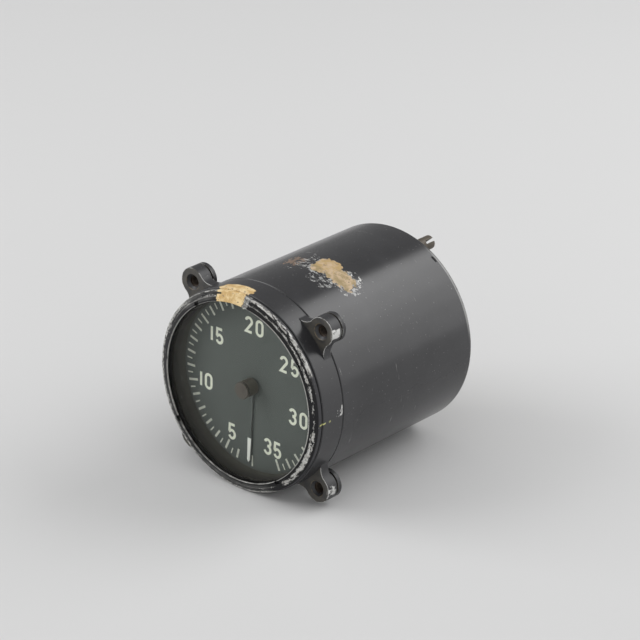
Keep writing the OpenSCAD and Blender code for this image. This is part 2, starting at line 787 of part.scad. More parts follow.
// Tall round hub, grooved behind its rim, that grips the staff and clamps the pointer's eye
module pointer_hub() {
  hub_r = hub_d / 2;
  groove_r = hub_r - hub_groove_depth;
  groove_front = hub_front + hub_bevel + hub_rim;
  groove_back = groove_front + hub_groove_w;
  color("#5c524c") on_axis() difference() {
    rotate_extrude() polygon([[0, hub_front], [hub_r - hub_bevel, hub_front],
      [hub_r, hub_front + hub_bevel], [hub_r, groove_front], [groove_r, groove_front],
      [groove_r, groove_back], [hub_r, groove_back], [hub_r, pointer_front],
      [hub_spigot_d / 2, pointer_front], [hub_spigot_d / 2, pointer_back], [0, pointer_back]]);
    rod(staff_r, pointer_back - staff_grip, pointer_back + cut);
  }
}

module pointer_staff() {
  color("#9a9a9a") on_axis() {
    rod(staff_r, pointer_back - staff_grip, pivot_start);
    rod(pivot_d / 2, pivot_start, pivot_start + pivot_length);
  }
}

// Thin cup that the turning magnet drags round
module drag_cup() {
  color("#b87f5a") on_axis() rotate_extrude() polygon([[cup_spigot_d / 2 + thread_gap, cup_front],
    [cup_r, cup_front], [cup_r, magnet_back], [cup_in_r, magnet_back], [cup_in_r, cup_floor],
    [cup_spigot_d / 2 + thread_gap, cup_floor]]);
}

module drag_cup_hub() {
  color("#c9a54a") on_axis() rotate_extrude() polygon([[staff_r, cup_hub_front],
    [cup_hub_d / 2, cup_hub_front], [cup_hub_d / 2, cup_front], [cup_spigot_d / 2, cup_front],
    [cup_spigot_d / 2, cup_floor], [staff_r, cup_floor]]);
}

// Ring magnet with grooves between its poles
module magnet_rotor() {
  color("#55585c") on_axis() difference() {
    tube(magnet_d / 2, rotor_hub_d / 2, magnet_front, magnet_back);
    ring_of(pole_count, 0, magnet_d / 2) rod(pole_groove_d / 2, magnet_front - cut, magnet_back + cut);
  }
}

module rotor_hub() {
  color("#c9a54a") on_axis() tube(rotor_hub_d / 2, spindle_r, rotor_front, rotor_back);
}

module thrust_washer() {
  color("#b87f5a") on_axis() tube(washer_d / 2, spindle_r, rotor_back, washer_back);
}

// Spindle: a nose for the jewel, a shoulder behind the rear bush and a square socket at the back
module drive_spindle() {
  socket_r = socket_end_d / 2;
  color("#a7a7a3") on_axis() difference() {
    union() {
      rod(spindle_r, spindle_front, shoulder_front);
      rod(shoulder_d / 2, shoulder_front, shoulder_back);
      rod(socket_r, shoulder_back, socket_end);
    }
    rod(jewel_d / 2, spindle_front - cut, spindle_front + jewel_length);
    rod(pivot_d / 2 + run_gap, spindle_front, pivot_start + pivot_length + axial_gap);
    translate([-socket_w / 2, -socket_w / 2, socket_end - socket_depth])
      cube([socket_w, socket_w, socket_depth + cut]);
  }
}

module pivot_jewel() {
  color("#a8324a") on_axis()
    tube(jewel_d / 2, pivot_d / 2 + run_gap, spindle_front, spindle_front + jewel_length);
}

// Steel cup that closes the magnet's field round the drag cup
module flux_cup() {
  mouth = flux_back - flux_length;
  boss_hole_r = sleeve_boss_d / 2 + thread_gap;
  color("#7c8084") on_axis() rotate_extrude() polygon([[flux_in_r, mouth], [flux_r, mouth],
    [flux_r, flux_back], [boss_hole_r, flux_back], [boss_hole_r, sleeve_front], [flux_in_r, sleeve_front]]);
}

// Sleeve that holds both spindle bushes, flanged to the rear plate
module bearing_sleeve() {
  bore_r = spindle_bush_d / 2 + thread_gap;
  front_r = sleeve_boss_d / 2;
  flange_r = sleeve_flange_d / 2;
  color("#b9a46a") on_axis() difference() {
    rotate_extrude() polygon([[bore_r, sleeve_front], [front_r, sleeve_front], [front_r, flux_back],
      [sleeve_d / 2, flux_back], [sleeve_d / 2, sleeve_flange_front], [flange_r, sleeve_flange_front],
      [flange_r, rear_plate_front], [sleeve_spigot_d / 2, rear_plate_front],
      [sleeve_spigot_d / 2, sleeve_back], [bore_r, sleeve_back]]);
    ring_of(sleeve_screw_count, 0, sleeve_screw_radius)
      rod(small_screw_d / 2 + thread_gap, sleeve_flange_front - cut, rear_plate_front + cut);
  }
}

module sleeve_screws() {
  color("#8d8a82") on_axis() ring_of(sleeve_screw_count, 0, sleeve_screw_radius)
    translate([0, 0, sleeve_flange_front])
      slotted_screw(small_head_d, small_head_h, small_screw_d, sleeve_flange_t + sleeve_spigot_length);
}

// Bushes at the two ends of the sleeve
module spindle_bushes() {
  color("#c9a54a") on_axis() {
    for (z = [sleeve_front, sleeve_back - spindle_bush_length])
      tube(spindle_bush_d / 2, spindle_r + run_gap, z, z + spindle_bush_length);
  }
}

// Screwed union for the drive cable: spigot in the can, flange, thread and ferrule bore
module drive_union() {
  thread_out_r = union_d / 2;
  spigot_front = can_floor + axial_gap;
  throat_r = socket_end_d / 2 + spindle_gap;
  color("#a89468") on_axis() difference() {
    rotate_extrude() polygon([[0, spigot_front], [thread_out_r, spigot_front], [thread_out_r, union_front],
      [union_flange_d / 2, union_front], [union_flange_d / 2, union_flange_back],
      [thread_out_r - union_relief_depth, union_flange_back],
      [thread_out_r - union_relief_depth, union_thread_front], [thread_out_r, union_thread_front],
      [thread_out_r, union_thread_back], [thread_out_r - union_bevel, union_back], [0, union_back]]);
    rod(shoulder_d / 2 + spindle_gap, spigot_front - cut, shoulder_back + axial_gap);
    rod(throat_r, spigot_front - cut, ferrule_seat + cut);
    rod(ferrule_d / 2, ferrule_seat, union_back + cut);
    ring_of(union_screw_count, union_screw_angle, union_screw_radius)
      rod(case_screw_d / 2 + thread_gap, union_front - cut, union_flange_back + cut);
  }
}

module union_gasket() {
  color("#3a2f28") on_axis() difference() {
    tube(union_flange_d / 2, union_d / 2 + thread_gap, can_back, union_front);
    ring_of(union_screw_count, union_screw_angle, union_screw_radius)
      rod(case_screw_d / 2 + thread_gap, can_back - cut, union_front + cut);
  }
}

// Screws through the union's flange into the rear plate
module union_screws() {
  length = union_flange_back - can_floor + case_screw_grip;
  color("#8d8a82") on_axis() ring_of(union_screw_count, union_screw_angle, union_screw_radius)
    translate([0, 0, union_flange_back]) mirror([0, 0, 1])
      slotted_screw(case_head_d, case_head_h, case_screw_d, length);
}

// Tall slotted screw on the back, threaded through the can into the rear plate
module bonding_screw() {
  head_front = can_back + bond_washer_t;
  head_back = head_front + bond_h;
  color("#76695c") on_axis() at_clock(bond_angle, bond_radius) difference() {
    union() {
      rod(bond_screw_d / 2, can_floor - case_screw_grip, head_front);
      rod(bond_d / 2, head_front, head_back);
    }
    rotate([0, 0, bond_slot_angle - bond_angle])
      translate([-bond_slot_w / 2, -bond_d, head_back - bond_slot_depth])
        cube([bond_slot_w, 2 * bond_d, bond_slot_depth + cut]);
  }
}

module bonding_washer() {
  color("#8d8a82") on_axis() at_clock(bond_angle, bond_radius)
    tube(bond_washer_d / 2, bond_screw_d / 2 + thread_gap, can_back, can_back + bond_washer_t);
}

front_ring();
bezel_ring();
cover_glass();
glass_gasket();
shade_ring();
dial_plate();
case_can();
case_gasket();
case_screws();
front_plate();
plate_screws();
frame_pillars();
pillar_screws();
rear_plate();
staff_bush();
stop_pin();
hairspring_stud();
hairspring();
hairspring_collet();
stop_arm();
pointer();
pointer_lume();
pointer_hub();
pointer_staff();
drag_cup();
drag_cup_hub();
magnet_rotor();
rotor_hub();
thrust_washer();
drive_spindle();
pivot_jewel();
flux_cup();
bearing_sleeve();
sleeve_screws();
spindle_bushes();
drive_union();
union_gasket();
union_screws();
bonding_screw();
bonding_washer();
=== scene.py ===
"""Looks of an aircraft tachometer: its finishes, its dial's print, its threads, and the studio round it."""

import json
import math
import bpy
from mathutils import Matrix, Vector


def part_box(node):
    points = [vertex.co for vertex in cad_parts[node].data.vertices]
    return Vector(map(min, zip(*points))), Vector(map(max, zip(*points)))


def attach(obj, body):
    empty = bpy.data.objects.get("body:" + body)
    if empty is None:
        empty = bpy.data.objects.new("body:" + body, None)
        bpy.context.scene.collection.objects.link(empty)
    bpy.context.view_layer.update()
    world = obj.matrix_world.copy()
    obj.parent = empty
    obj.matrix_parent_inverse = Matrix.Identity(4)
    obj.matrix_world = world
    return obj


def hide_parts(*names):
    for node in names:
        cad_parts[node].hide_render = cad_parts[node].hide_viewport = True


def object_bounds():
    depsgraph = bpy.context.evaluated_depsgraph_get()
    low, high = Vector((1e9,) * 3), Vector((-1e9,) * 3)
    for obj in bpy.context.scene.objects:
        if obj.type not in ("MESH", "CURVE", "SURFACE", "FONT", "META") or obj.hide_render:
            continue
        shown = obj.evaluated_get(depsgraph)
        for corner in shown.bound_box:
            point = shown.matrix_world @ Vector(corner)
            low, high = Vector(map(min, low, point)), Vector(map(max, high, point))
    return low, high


bl_info = {
    "name": "Aircraft tachometer",
    "version": (1, 0, 0),
    "blender": (4, 5, 0),
    "location": "3D View > Sidebar > Tachometer",
    "description": "Dresses the packed tachometer and sets up its studio",
    "category": "Object",
}

from functools import cached_property

import bmesh
import bpy
from bpy.props import FloatProperty, FloatVectorProperty, IntProperty, PointerProperty
from mathutils import Quaternion, Vector

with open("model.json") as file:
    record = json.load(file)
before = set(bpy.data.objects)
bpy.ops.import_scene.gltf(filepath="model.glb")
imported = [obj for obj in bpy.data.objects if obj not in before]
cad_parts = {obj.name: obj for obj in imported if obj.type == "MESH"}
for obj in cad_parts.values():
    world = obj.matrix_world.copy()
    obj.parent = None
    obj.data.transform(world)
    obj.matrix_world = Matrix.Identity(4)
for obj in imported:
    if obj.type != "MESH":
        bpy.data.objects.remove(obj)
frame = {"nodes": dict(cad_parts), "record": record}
CAD_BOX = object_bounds()
NODES = frame["nodes"]
MOUNTS = {mount["name"]: mount for mount in frame["record"]["mounts"]}
MM = 0.001

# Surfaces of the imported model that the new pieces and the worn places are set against
CASE_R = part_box("case_can")[1].x
CAN_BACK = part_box("case_can")[1].y
UNION_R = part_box("drive_union")[1].x
UNION_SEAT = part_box("union_gasket")[1].y
DIAL_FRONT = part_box("dial_plate")[0].y
FLOOR_Z = CAD_BOX[0][2]
LUG_R = MOUNTS["panel_bolts"]["dims"]["pcd_mm"] * MM / 2
LUG_SIDE = LUG_R * math.sqrt(0.5)
LUG_HOLE_R = MOUNTS["panel_bolts"]["dims"]["hole_r_mm"] * MM

# Fineness of the threads: corners round the union, rows to a pitch of it, and rows to a turn in a lug
UNION_CORNERS = 96
PITCH_ROWS = 12
RIDGE_ROWS = 28

# Worn and stained places: clock angles in degrees, and depths behind the panel plane in millimetres
WORN = {
    "ring_lacquer": ((-18.0, 4.6), (-11.5, -1.9)),
    "bezel_lacquer": ((-16.8, 3.6), (-13.5, -5.0)),
    "paint_dash": ((90.1, 90.9), (-8.1, -5.3)),
    "paint_dot": ((90.7, 91.7), (-3.6, -2.6)),
    "seam_stroke": ((84.3, 89.6), (3.3, 3.95)),
    "seam_hook": ((88.9, 90.0), (2.4, 3.6)),
    "seam_specks": ((86.0, 90.5), (0.6, 3.2)),
    "brown_streaks": ((-14, -4), (24, 33)),
    "pale_streaks": ((-7, 2), (22, 37)),
    "pale_flecks": ((9, 22), (19.5, 27)),
    "primer_left": ((2, 12), (27, 37)),
    "primer_right": ((9, 29.5), (27.5, 36.6)),
    "can_lacquer": ((1, 15), (30, 38.7)),
    "bare_marks": ((19, 29), (36.5, 39.6)),
    # Along the rear edge: rubbed enamel and a painted highlight
    "rear_edge": ((28, 78), (CAN_BACK / MM - 2.1, CAN_BACK / MM - 0.3)),
    "rear_nick": ((30.8, 34.8), (CAN_BACK / MM - 3.5, CAN_BACK / MM - 2.3)),
}

# Rings of the bezel's face: distances from the axis in millimetres
LIP_R = 35.8
CROWN_R = 37.7
EDGE_R = 39.3

# Stretches of the bezel: clock angles in degrees at which they start and end, and how soft their ends are
STRETCHES = {
    "greyed": (-46, -18, 6.0),
    "chipped": (-150, -44, 8.0),
    "fringe": (3.6, 7.4, 0.4),
    "flecked": (8, 62, 3.0),
    "wide_lip": (15, 120, 15.0),
    "rubbed": (24, 80, 5.0),
    "wide_crown": (52, 80, 6.0),
    "lower_right": (66, 150, 4.0),
    "flaked": (95, 142, 2.0),
}

# Middle of each figure: clock angle in degrees and distance from the axis, and the gap between its digits,
# both in millimetres
FIGURE_PLACES = {
    5: (-155.2, 25.2, 0),
    10: (-104.1, 24.8, 1.35),
    15: (-52.05, 23.7, 1.35),
    20: (0.0, 24.0, 1.35),
    25: (52.5, 22.2, 1.35),
    30: (105.6, 23.3, 1.35),
    35: (156.3, 25.0, 0.9),
}


def tone(red, green, blue):
    """Linear colour of a tone that is read from 0 to 255."""
    shares = (red / 255, green / 255, blue / 255)
    return tuple(s / 12.92 if s <= 0.04045 else ((s + 0.055) / 1.055) ** 2.4 for s in shares)


def length(title, text, millimetres):
    """A size property."""
    return FloatProperty(name=title, description=text, default=millimetres * MM, unit="LENGTH", precision=5)


def angle(title, text, degrees):
    """An angle property."""
    return FloatProperty(name=title, description=text, default=math.radians(degrees), subtype="ANGLE")


def colour(title, text, red, green, blue):
    """A colour property."""
    return FloatVectorProperty(name=title, description=text, default=tone(red, green, blue), subtype="COLOR",
                               size=3, min=0.0, max=1.0)


def number(title, text, value):
    """A plain number property."""
    return FloatProperty(name=title, description=text, default=value)


def position(title, text, x, y, z):
    """A property that holds a point."""
    return FloatVectorProperty(name=title, description=text, default=(x, y, z), unit="LENGTH")


class TachometerFinish(bpy.types.PropertyGroup):
    """Colours of the finishes."""
    enamel: colour("Enamel", "Satin black of the case", 45, 45, 47)
    enamel_faded: colour("Faded enamel", "Case black where it has greyed", 53, 53, 55)
    bezel: colour("Bezel", "Black of the bezel", 25, 25, 26)
    bare_metal: colour("Bare metal", "Metal where the black has gone", 214, 214, 211)
    lacquer: colour("Lacquer", "Amber lacquer left on the ring", 202, 168, 112)
    lacquer_pale: colour("Pale lacquer", "Amber lacquer where it is thin", 232, 208, 160)
    primer: colour("Primer", "Tan primer under the can's black", 158, 138, 98)
    primer_pale: colour("Pale primer", "Tan primer where it is clean", 200, 176, 144)
    rust: colour("Brown stain", "Brown streaks on the can", 128, 104, 84)
    dust: colour("Dust", "Brownish dust on the lugs' faces", 104, 99, 86)
    mark: colour("Paint mark", "Yellow-green dashes on the ring", 196, 196, 128)
    hole: colour("Hole", "Brown inside the lugs' holes", 58, 47, 37)
    dial: colour("Dial", "Matt grey-green of the dial", 100, 105, 101)
    figures: colour("Figures", "Luminous paint of the figures", 251, 253, 235)
    bar: colour("Bar", "Luminous compound on the pointer", 254, 255, 247)
    ticks: colour("Ticks", "Luminous paint of the scale", 226, 227, 214)
    stem: colour("Stem", "Pointer between hub and bar", 94, 99, 95)
    # Paler cut edges of the pointer, which are painted light
    stem_edge: colour("Stem's edge", "Cut edges of the pointer", 150, 156, 151)
    # Paler tint of the hub's side, which is painted light
    barrel: colour("Hub's side", "Side of the hub", 122, 117, 105)
    hub: colour("Hub", "Darkened brass of the hub", 106, 99, 91)
    # The shade ring's dark tone near the glass, and a paler tone near the dial that is painted light
    shade: colour("Shade ring", "Ring under the glass, near the glass", 55, 52, 47)
    shade_pale: colour("Pale shade ring", "Ring under the glass, near the dial", 96, 94, 85)
    brass: colour("Brass", "Machined brass", 196, 168, 104)
    old_brass: colour("Old brass", "Tarnished brass of the drive union", 168, 146, 98)
    bronze: colour("Bronze", "Bearing bronze", 190, 144, 84)
    steel: colour("Steel", "Plain steel", 168, 166, 160)
    spring: colour("Spring", "Blued spring strip", 92, 104, 138)
    aluminium: colour("Aluminium", "Spun aluminium", 196, 196, 194)
    magnet: colour("Magnet", "Ground magnet alloy", 98, 100, 104)
    iron: colour("Iron", "Plated soft iron", 136, 140, 142)
    fibre: colour("Fibre", "Fibre washer", 150, 96, 66)
    jewel: colour("Jewel", "Polished jewel", 150, 38, 62)
    bonding: colour("Bonding screw", "Dulled plated brass", 98, 91, 82)
    rubber: colour("Rubber", "Gaskets", 30, 29, 28)


class TachometerDial(bpy.types.PropertyGroup):
    """Sizes of the dial's print."""
    first_unit: IntProperty(name="First mark", description="Scale value of the first mark", default=4)
    last_unit: IntProperty(name="Last mark", description="Scale value of the last mark", default=35)
    top_unit: IntProperty(name="Top mark", description="Scale value at 12 o'clock", default=20)
    unit_angle: angle("Unit", "Angle of one unit of the scale", 10.41)
    tick_outer: length("Outer end", "Radius of the marks' outer ends", 33.9)
    five_inner: length("Fives", "Radius of the inner ends of the marks at the figures", 29.3)
    unit_inner: length("Units", "Radius of the inner ends of the unit marks", 29.95)
    half_inner: length("Halves", "Radius of the inner ends of the half marks", 31.4)
    tick_width: length("Mark width", "Width of a unit mark", 0.95)
    half_width: length("Half mark width", "Width of a half mark", 0.55)
    start_width: length("Start mark width", "Width of the mark at 6 o'clock", 0.7)
    figure_height: length("Figure height", "Height of a figure", 6.8)
    figure_width: length("Figure width", "Width of a figure", 4.0)
    stroke: length("Stroke", "Width of a figure's stroke", 1.12)
    relief: length("Relief", "Thickness of the luminous paint", 0.05)


class TachometerThread(bpy.types.PropertyGroup):
    """Sizes of the drive union and of the threads that show."""
    union_pitch: length("Union pitch", "Pitch of the union's thread", 1.5)
    union_depth: length("Union depth", "Depth of the union's thread", 0.8)
    lug_pitch: length("Lug pitch", "Pitch of the thread in the lugs", 0.7)
    lug_depth: length("Lug depth", "Depth of the thread in the lugs", 0.36)
    lug_start: length("Lug start", "Depth below the panel plane at which the lugs' thread starts", 1.2)
    flange_thickness: length("Flange thickness", "Thickness of the union's flange", 3)
    relief_radius: length("Relief radius", "Radius of the groove before the thread", 8.1)
    throat_radius: length("Throat radius", "Radius of the hole that the spindle runs in", 4.2)
    pocket_radius: length("Pocket radius", "Radius of the pocket round the spindle's shoulder", 5.6)
    pocket_lead: length("Pocket lead", "Distance of the pocket's floor in front of the flange", 1.2)
    bevel: length("Bevel", "Bevel on the union's edges", 0.3)
    flat: number("Flat", "Share of the pitch that is flat at the thread's crest, and at its root", 0.12)


class TachometerStage(bpy.types.PropertyGroup):
    """The studio."""
    floor: colour("Floor", "Pale floor", 211, 211, 211)
    floor_reach: length("Floor's reach", "Distance from the middle of the floor to its edges", 3000)
    camera_place: position("Camera", "Place of the camera", 0.66803, -0.73892, 0.48322)
    camera_target: position("Target", "Point that the camera looks at", -0.00299, 0.03994, 0.01244)
    camera_roll: angle("Roll", "Turn of the camera about its own axis", 1.4027)
    lens: number("Lens", "Focal length in millimetres", 167.01)
    dome: number("Dome", "Brightness of the studio's walls", 0.7)
    dark_wall: number("Dark wall", "Brightness of the wall behind on the left", 0.34)
    dark_side: FloatVectorProperty(name="Dark side", description="Direction of the dark wall",
                                   subtype="DIRECTION", default=(-0.5, 0.75, 0.42))
    dark_edge: number("Dark edge", "Cosine of the angle to the dark side where darkening starts", 0.55)
    dark_core: number("Dark core", "Cosine of the angle to the dark side where the wall is darkest", 0.9)
    lamp_target: position("Lamps' target", "Point that the lamps look at", 0.0, 0.03, 0.0)
    panel_place: position("Panel", "Middle of the light panel", 0.45, 0.83, 0.45)
    panel_width: length("Panel's width", "Width of the light panel", 940)
    panel_height: length("Panel's height", "Height of the light panel", 1080)
    panel_rows: IntProperty(name="Panel's rows", description="Lamps in the panel, one above another",
                            default=5)
    panel_low: number("Panel's foot", "Brightness at the light panel's foot", 0.9)
    panel_high: number("Panel's head", "Brightness at the light panel's head", 3.3)
    panel_curve: number("Panel's curve", "How late the brightness rises towards the head", 1.7)
    key: number("Key", "Power of the softbox at the front left in watts", 9.0)
    key_place: position("Key's place", "Middle of the softbox", -0.95, -0.75, 0.75)
    key_size: length("Key's size", "Width and height of the softbox", 1000)


class Level:
    """A number that varies over a surface. Arithmetic on levels adds the nodes that work it out."""

    def __init__(self, finish, socket):
        self.finish = finish
        self.socket = socket

    def __add__(self, other):
        return self.finish.math("ADD", self, other)

    def __sub__(self, other):
        return self.finish.math("SUBTRACT", self, other)

    def __rsub__(self, other):
        return self.finish.math("SUBTRACT", other, self)

    def __mul__(self, other):
        return self.finish.math("MULTIPLY", self, other)

    def __truediv__(self, other):
        return self.finish.math("DIVIDE", self, other)

    def __or__(self, other):
        """The larger of two levels."""
        return self.finish.math("MAXIMUM", self, other)

    def __abs__(self):
        return self.finish.math("ABSOLUTE", self)


class Finish:
    """A material's node tree, with short names for the nodes that the finishes share."""

    def __init__(self, name):
        self.material = bpy.data.materials.new(name)
        self.material.use_nodes = True
        self.tree = self.material.node_tree
        self.tree.nodes.clear()
        self.output = self.tree.nodes.new("ShaderNodeOutputMaterial")
        self.place = self.add("ShaderNodeTexCoord").outputs["Object"]

    def feed(self, socket, value):
        """Links a socket to a level or another socket, or sets it to a plain value."""
        if isinstance(value, Level):
            value = value.socket
        if isinstance(value, bpy.types.NodeSocket):
            self.tree.links.new(value, socket)
        elif socket.type == "RGBA":
            socket.default_value = (*value[:3], 1.0)
        else:
            socket.default_value = value

    def add(self, kind, inputs=None, **options):
        """A new node with its options and inputs set."""
        node = self.tree.nodes.new(kind)
        for name, option in options.items():
            setattr(node, name, option)
        for key, value in (inputs or {}).items():
            self.feed(node.inputs[key], value)
        return node

    def level(self, kind, inputs, output=0, **options):
        """One output of a new node, as a level."""
        return Level(self, self.add(kind, inputs, **options).outputs[output])

    def math(self, operation, first, second=0.0):
        """Sum, product or other result of two numbers."""
        return self.level("ShaderNodeMath", {0: first, 1: second}, operation=operation)

    @cached_property
    def axes(self):
        """Place along X, Y and Z."""
        sockets = self.add("ShaderNodeSeparateXYZ", {"Vector": self.place}).outputs
        return [Level(self, socket) for socket in sockets]

    @cached_property
    def depth(self):
        """Depth behind the panel plane in millimetres."""
        return self.axes[1] / MM

    @cached_property
    def radius(self):
        """Distance from the instrument's axis in millimetres."""
        x, _, z = self.axes
        return self.math("SQRT", x * x + z * z) / MM

    @cached_property
    def clock(self):
        """Clock angle in degrees, from 12 o'clock, positive to the right."""
        x, _, z = self.axes
        return self.math("DEGREES", self.math("ARCTAN2", x, z))

    @cached_property
    def from_hole(self):
        """Distance from the nearest lug hole's axis in millimetres."""
        x, _, z = self.axes
        across, up = abs(x) - LUG_SIDE, abs(z) - LUG_SIDE
        return self.math("SQRT", across * across + up * up) / MM

    @cached_property
    def facing(self):
        """1 on faces square to the instrument's axis, 0 on faces along it."""
        normal = self.add("ShaderNodeNewGeometry").outputs["Normal"]
        return abs(self.level("ShaderNodeSeparateXYZ", {"Vector": normal}, "Y"))

    def span(self, value, low, high, to_low=0.0, to_high=1.0):
        """Smooth step of a value from low to high."""
        inputs = {"Value": value, "From Min": low, "From Max": high, "To Min": to_low, "To Max": to_high}
        return self.level("ShaderNodeMapRange", inputs, "Result", interpolation_type="SMOOTHSTEP")

    def between(self, value, low, high, soft):
        """1 where the value lies between two limits, with soft edges."""
        return self.span(value, low - soft, low + soft) * self.span(value, high + soft, high - soft)

    def mix(self, share, first, second):
        """Blend of two colours."""
        return self.add("ShaderNodeMix", {0: share, 6: first, 7: second}, data_type="RGBA").outputs[2]

    def blend(self, share, first, second):
        """Blend of two numbers."""
        return self.level("ShaderNodeMix", {0: share, 2: first, 3: second}, data_type="FLOAT")

    def noise(self, size, detail=3.0, rough=0.55, stretch=None):
        """Cloudy noise with features of about that size in millimetres."""
        vector = self.place
        if stretch:
            scaled = self.add("ShaderNodeVectorMath", {0: vector, 1: stretch}, operation="MULTIPLY")
            vector = scaled.outputs[0]
        inputs = {"Vector": vector, "Scale": 1 / (size * MM), "Detail": detail, "Roughness": rough}
        return self.level("ShaderNodeTexNoise", inputs, "Fac")

    def flakes(self, size):
        """Random level of each flake of a broken coat, with flakes of about that size in millimetres."""
        inputs = {"Vector": self.place, "Scale": 1 / (size * MM), "Detail": 3.0}
        drift = self.add("ShaderNodeTexNoise", inputs)
        inputs = {0: drift.outputs["Color"], 1: (size * MM,) * 3, 2: self.place}
        torn = self.add("ShaderNodeVectorMath", inputs, operation="MULTIPLY_ADD").outputs[0]
        cells = self.add("ShaderNodeTexVoronoi", {"Vector": torn, "Scale": 1 / (size * MM)}).outputs["Color"]
        return self.level("ShaderNodeSeparateColor", {"Color": cells}, "Red")

    def drawn(self, size, detail=4.0, rough=0.6, ratio=4.0):
        """Cloudy noise drawn out round the instrument's axis, with features of that width in millimetres."""
        round_about = self.clock * (math.radians(1.0) * CASE_R / MM / ratio)
        vector = self.add("ShaderNodeCombineXYZ", {0: round_about, 1: self.radius, 2: self.depth}).outputs[0]
        inputs = {"Vector": vector, "Scale": 1 / size, "Detail": detail, "Roughness": rough}
        return self.level("ShaderNodeTexNoise", inputs, "Fac")

    def cloud(self, low, high, size, **form):
        """Smooth step of cloudy noise from low to high."""
        return self.span(self.noise(size, **form), low, high)

    def streaks(self, low, high, size, **form):
        """Smooth step of drawn-out noise from low to high."""
        return self.span(self.drawn(size, **form), low, high)

    def strokes(self, size, width):
        """1 along thin wandering lines that lie about that size in millimetres apart."""
        return self.span(abs(self.drawn(size, detail=2.0, rough=0.5, ratio=1.0) - 0.5), width, width * 0.4)

    def rounded(self, radius):
        """Normal of edges that are rounded off to a radius in millimetres."""
        return self.add("ShaderNodeBevel", {"Radius": radius * MM}, samples=6).outputs["Normal"]

    def edges(self, radius, low, high):
        """1 along edges sharper than a rounding in millimetres."""
        inputs = {0: self.rounded(radius), 1: self.add("ShaderNodeNewGeometry").outputs["Normal"]}
        same = self.level("ShaderNodeVectorMath", inputs, "Value", operation="DOT_PRODUCT")
        return self.span(1.0 - same, low, high)

    def bump(self, height, distance, strength=1.0, rounding=0.0):
        """Normal that follows a height, on edges that are rounded off, both in millimetres."""
        inputs = {"Height": height, "Distance": distance * MM, "Strength": strength}
        if rounding:
            inputs["Normal"] = self.rounded(rounding)
        return self.add("ShaderNodeBump", inputs).outputs["Normal"]

    def surface(self, base, roughness, **sockets):
        """Finishes the material with one Principled shader, whose sockets are named in lower case."""
        inputs = {"Base Color": base, "Roughness": roughness}
        for name, value in sockets.items():
            inputs[name.replace("_", " ").title().replace("Ior", "IOR")] = value
        shader = self.add("ShaderNodeBsdfPrincipled", inputs)
        self.tree.links.new(shader.outputs[0], self.output.inputs["Surface"])
        return self.material


def darker(tint, share):
    """A share of a colour."""
    return tuple(share * channel for channel in tint)


def patch(finish, name, ragged, lobe=4.0):
    """Distance from the middle of a torn patch, with lobes of that size in millimetres: it ends at 1."""
    (left, right), (near, far) = WORN[name]
    across = (finish.clock - (left + right) / 2) / ((right - left) / 2)
    along = (finish.depth - (near + far) / 2) / ((far - near) / 2)
    corner = finish.math("SQRT", across * across + along * along)
    lobes = (finish.noise(lobe, detail=5.0, rough=0.65) - 0.5) * (2 * ragged)
    chips = (finish.flakes(1.2) - 0.5) * (0.5 * ragged)
    return ((abs(across) | abs(along)) + corner) * 0.5 + lobes + chips


def inside(finish, reach):
    """1 inside a torn patch."""
    return finish.span(reach, 1.02, 0.97)


def worn_place(finish, name, ragged, **form):
    """1 inside a worn place."""
    return inside(finish, patch(finish, name, ragged, **form))


def straight_place(finish, name, turn, depth, turn_soft, depth_soft):
    """1 inside a worn place with straight sides, for a clock angle and a depth that may wander."""
    turns, depths = WORN[name]
    return finish.between(turn, *turns, turn_soft) * finish.between(depth, *depths, depth_soft)


def torn_rim(finish, reach, width):
    """1 in places along the outside of a torn patch."""
    broken = finish.cloud(0.5, 0.56, 1.7, detail=5.0, rough=0.7)
    return finish.between(reach, 1.0, 1.0 + width, 0.03) * broken


def stained(finish, low, high, brown):
    """Mottled coat between two tones, with brown specks."""
    mottle = finish.cloud(0.4, 0.6, 2.6, detail=5.0, rough=0.65)
    specks = finish.cloud(0.61, 0.66, 1.3, rough=0.6)
    return finish.mix(specks * 0.85, finish.mix(mottle, low, high), brown)


def paint_dashes(finish, base, mark):
    """Slanted dash and a dot of paint across the bezel's side and the ring, at 3 o'clock."""
    slant = finish.clock + (finish.depth + 6.7) * 0.2
    wander = slant + (finish.noise(1.2, detail=4.0) - 0.5) * 0.8
    dash = straight_place(finish, "paint_dash", wander, finish.depth, 0.12, 0.15)
    dot = straight_place(finish, "paint_dot", wander, finish.depth, 0.12, 0.15)
    dot = dot * finish.cloud(0.46, 0.54, 0.9)
    return finish.mix(dash * 0.95 | dot * 0.7, base, mark)


def enamel_coat(finish, fresh, faded, bare):
    """Colour and fine height of worn black enamel."""
    cloud = finish.cloud(0.35, 0.7, 26, detail=4.0)
    specks = finish.cloud(0.7, 0.76, 0.9, detail=2.0)
    base = finish.mix(specks * 0.2, finish.mix(cloud, fresh, faded), bare)
    return base, finish.noise(0.7, detail=2.0)


def gloss(finish, worn, low, high, dull):
    """Roughness of enamel, uneven between two values, and duller where it is worn."""
    return finish.blend(worn, finish.blend(finish.noise(9, detail=4.0), low, high), dull)


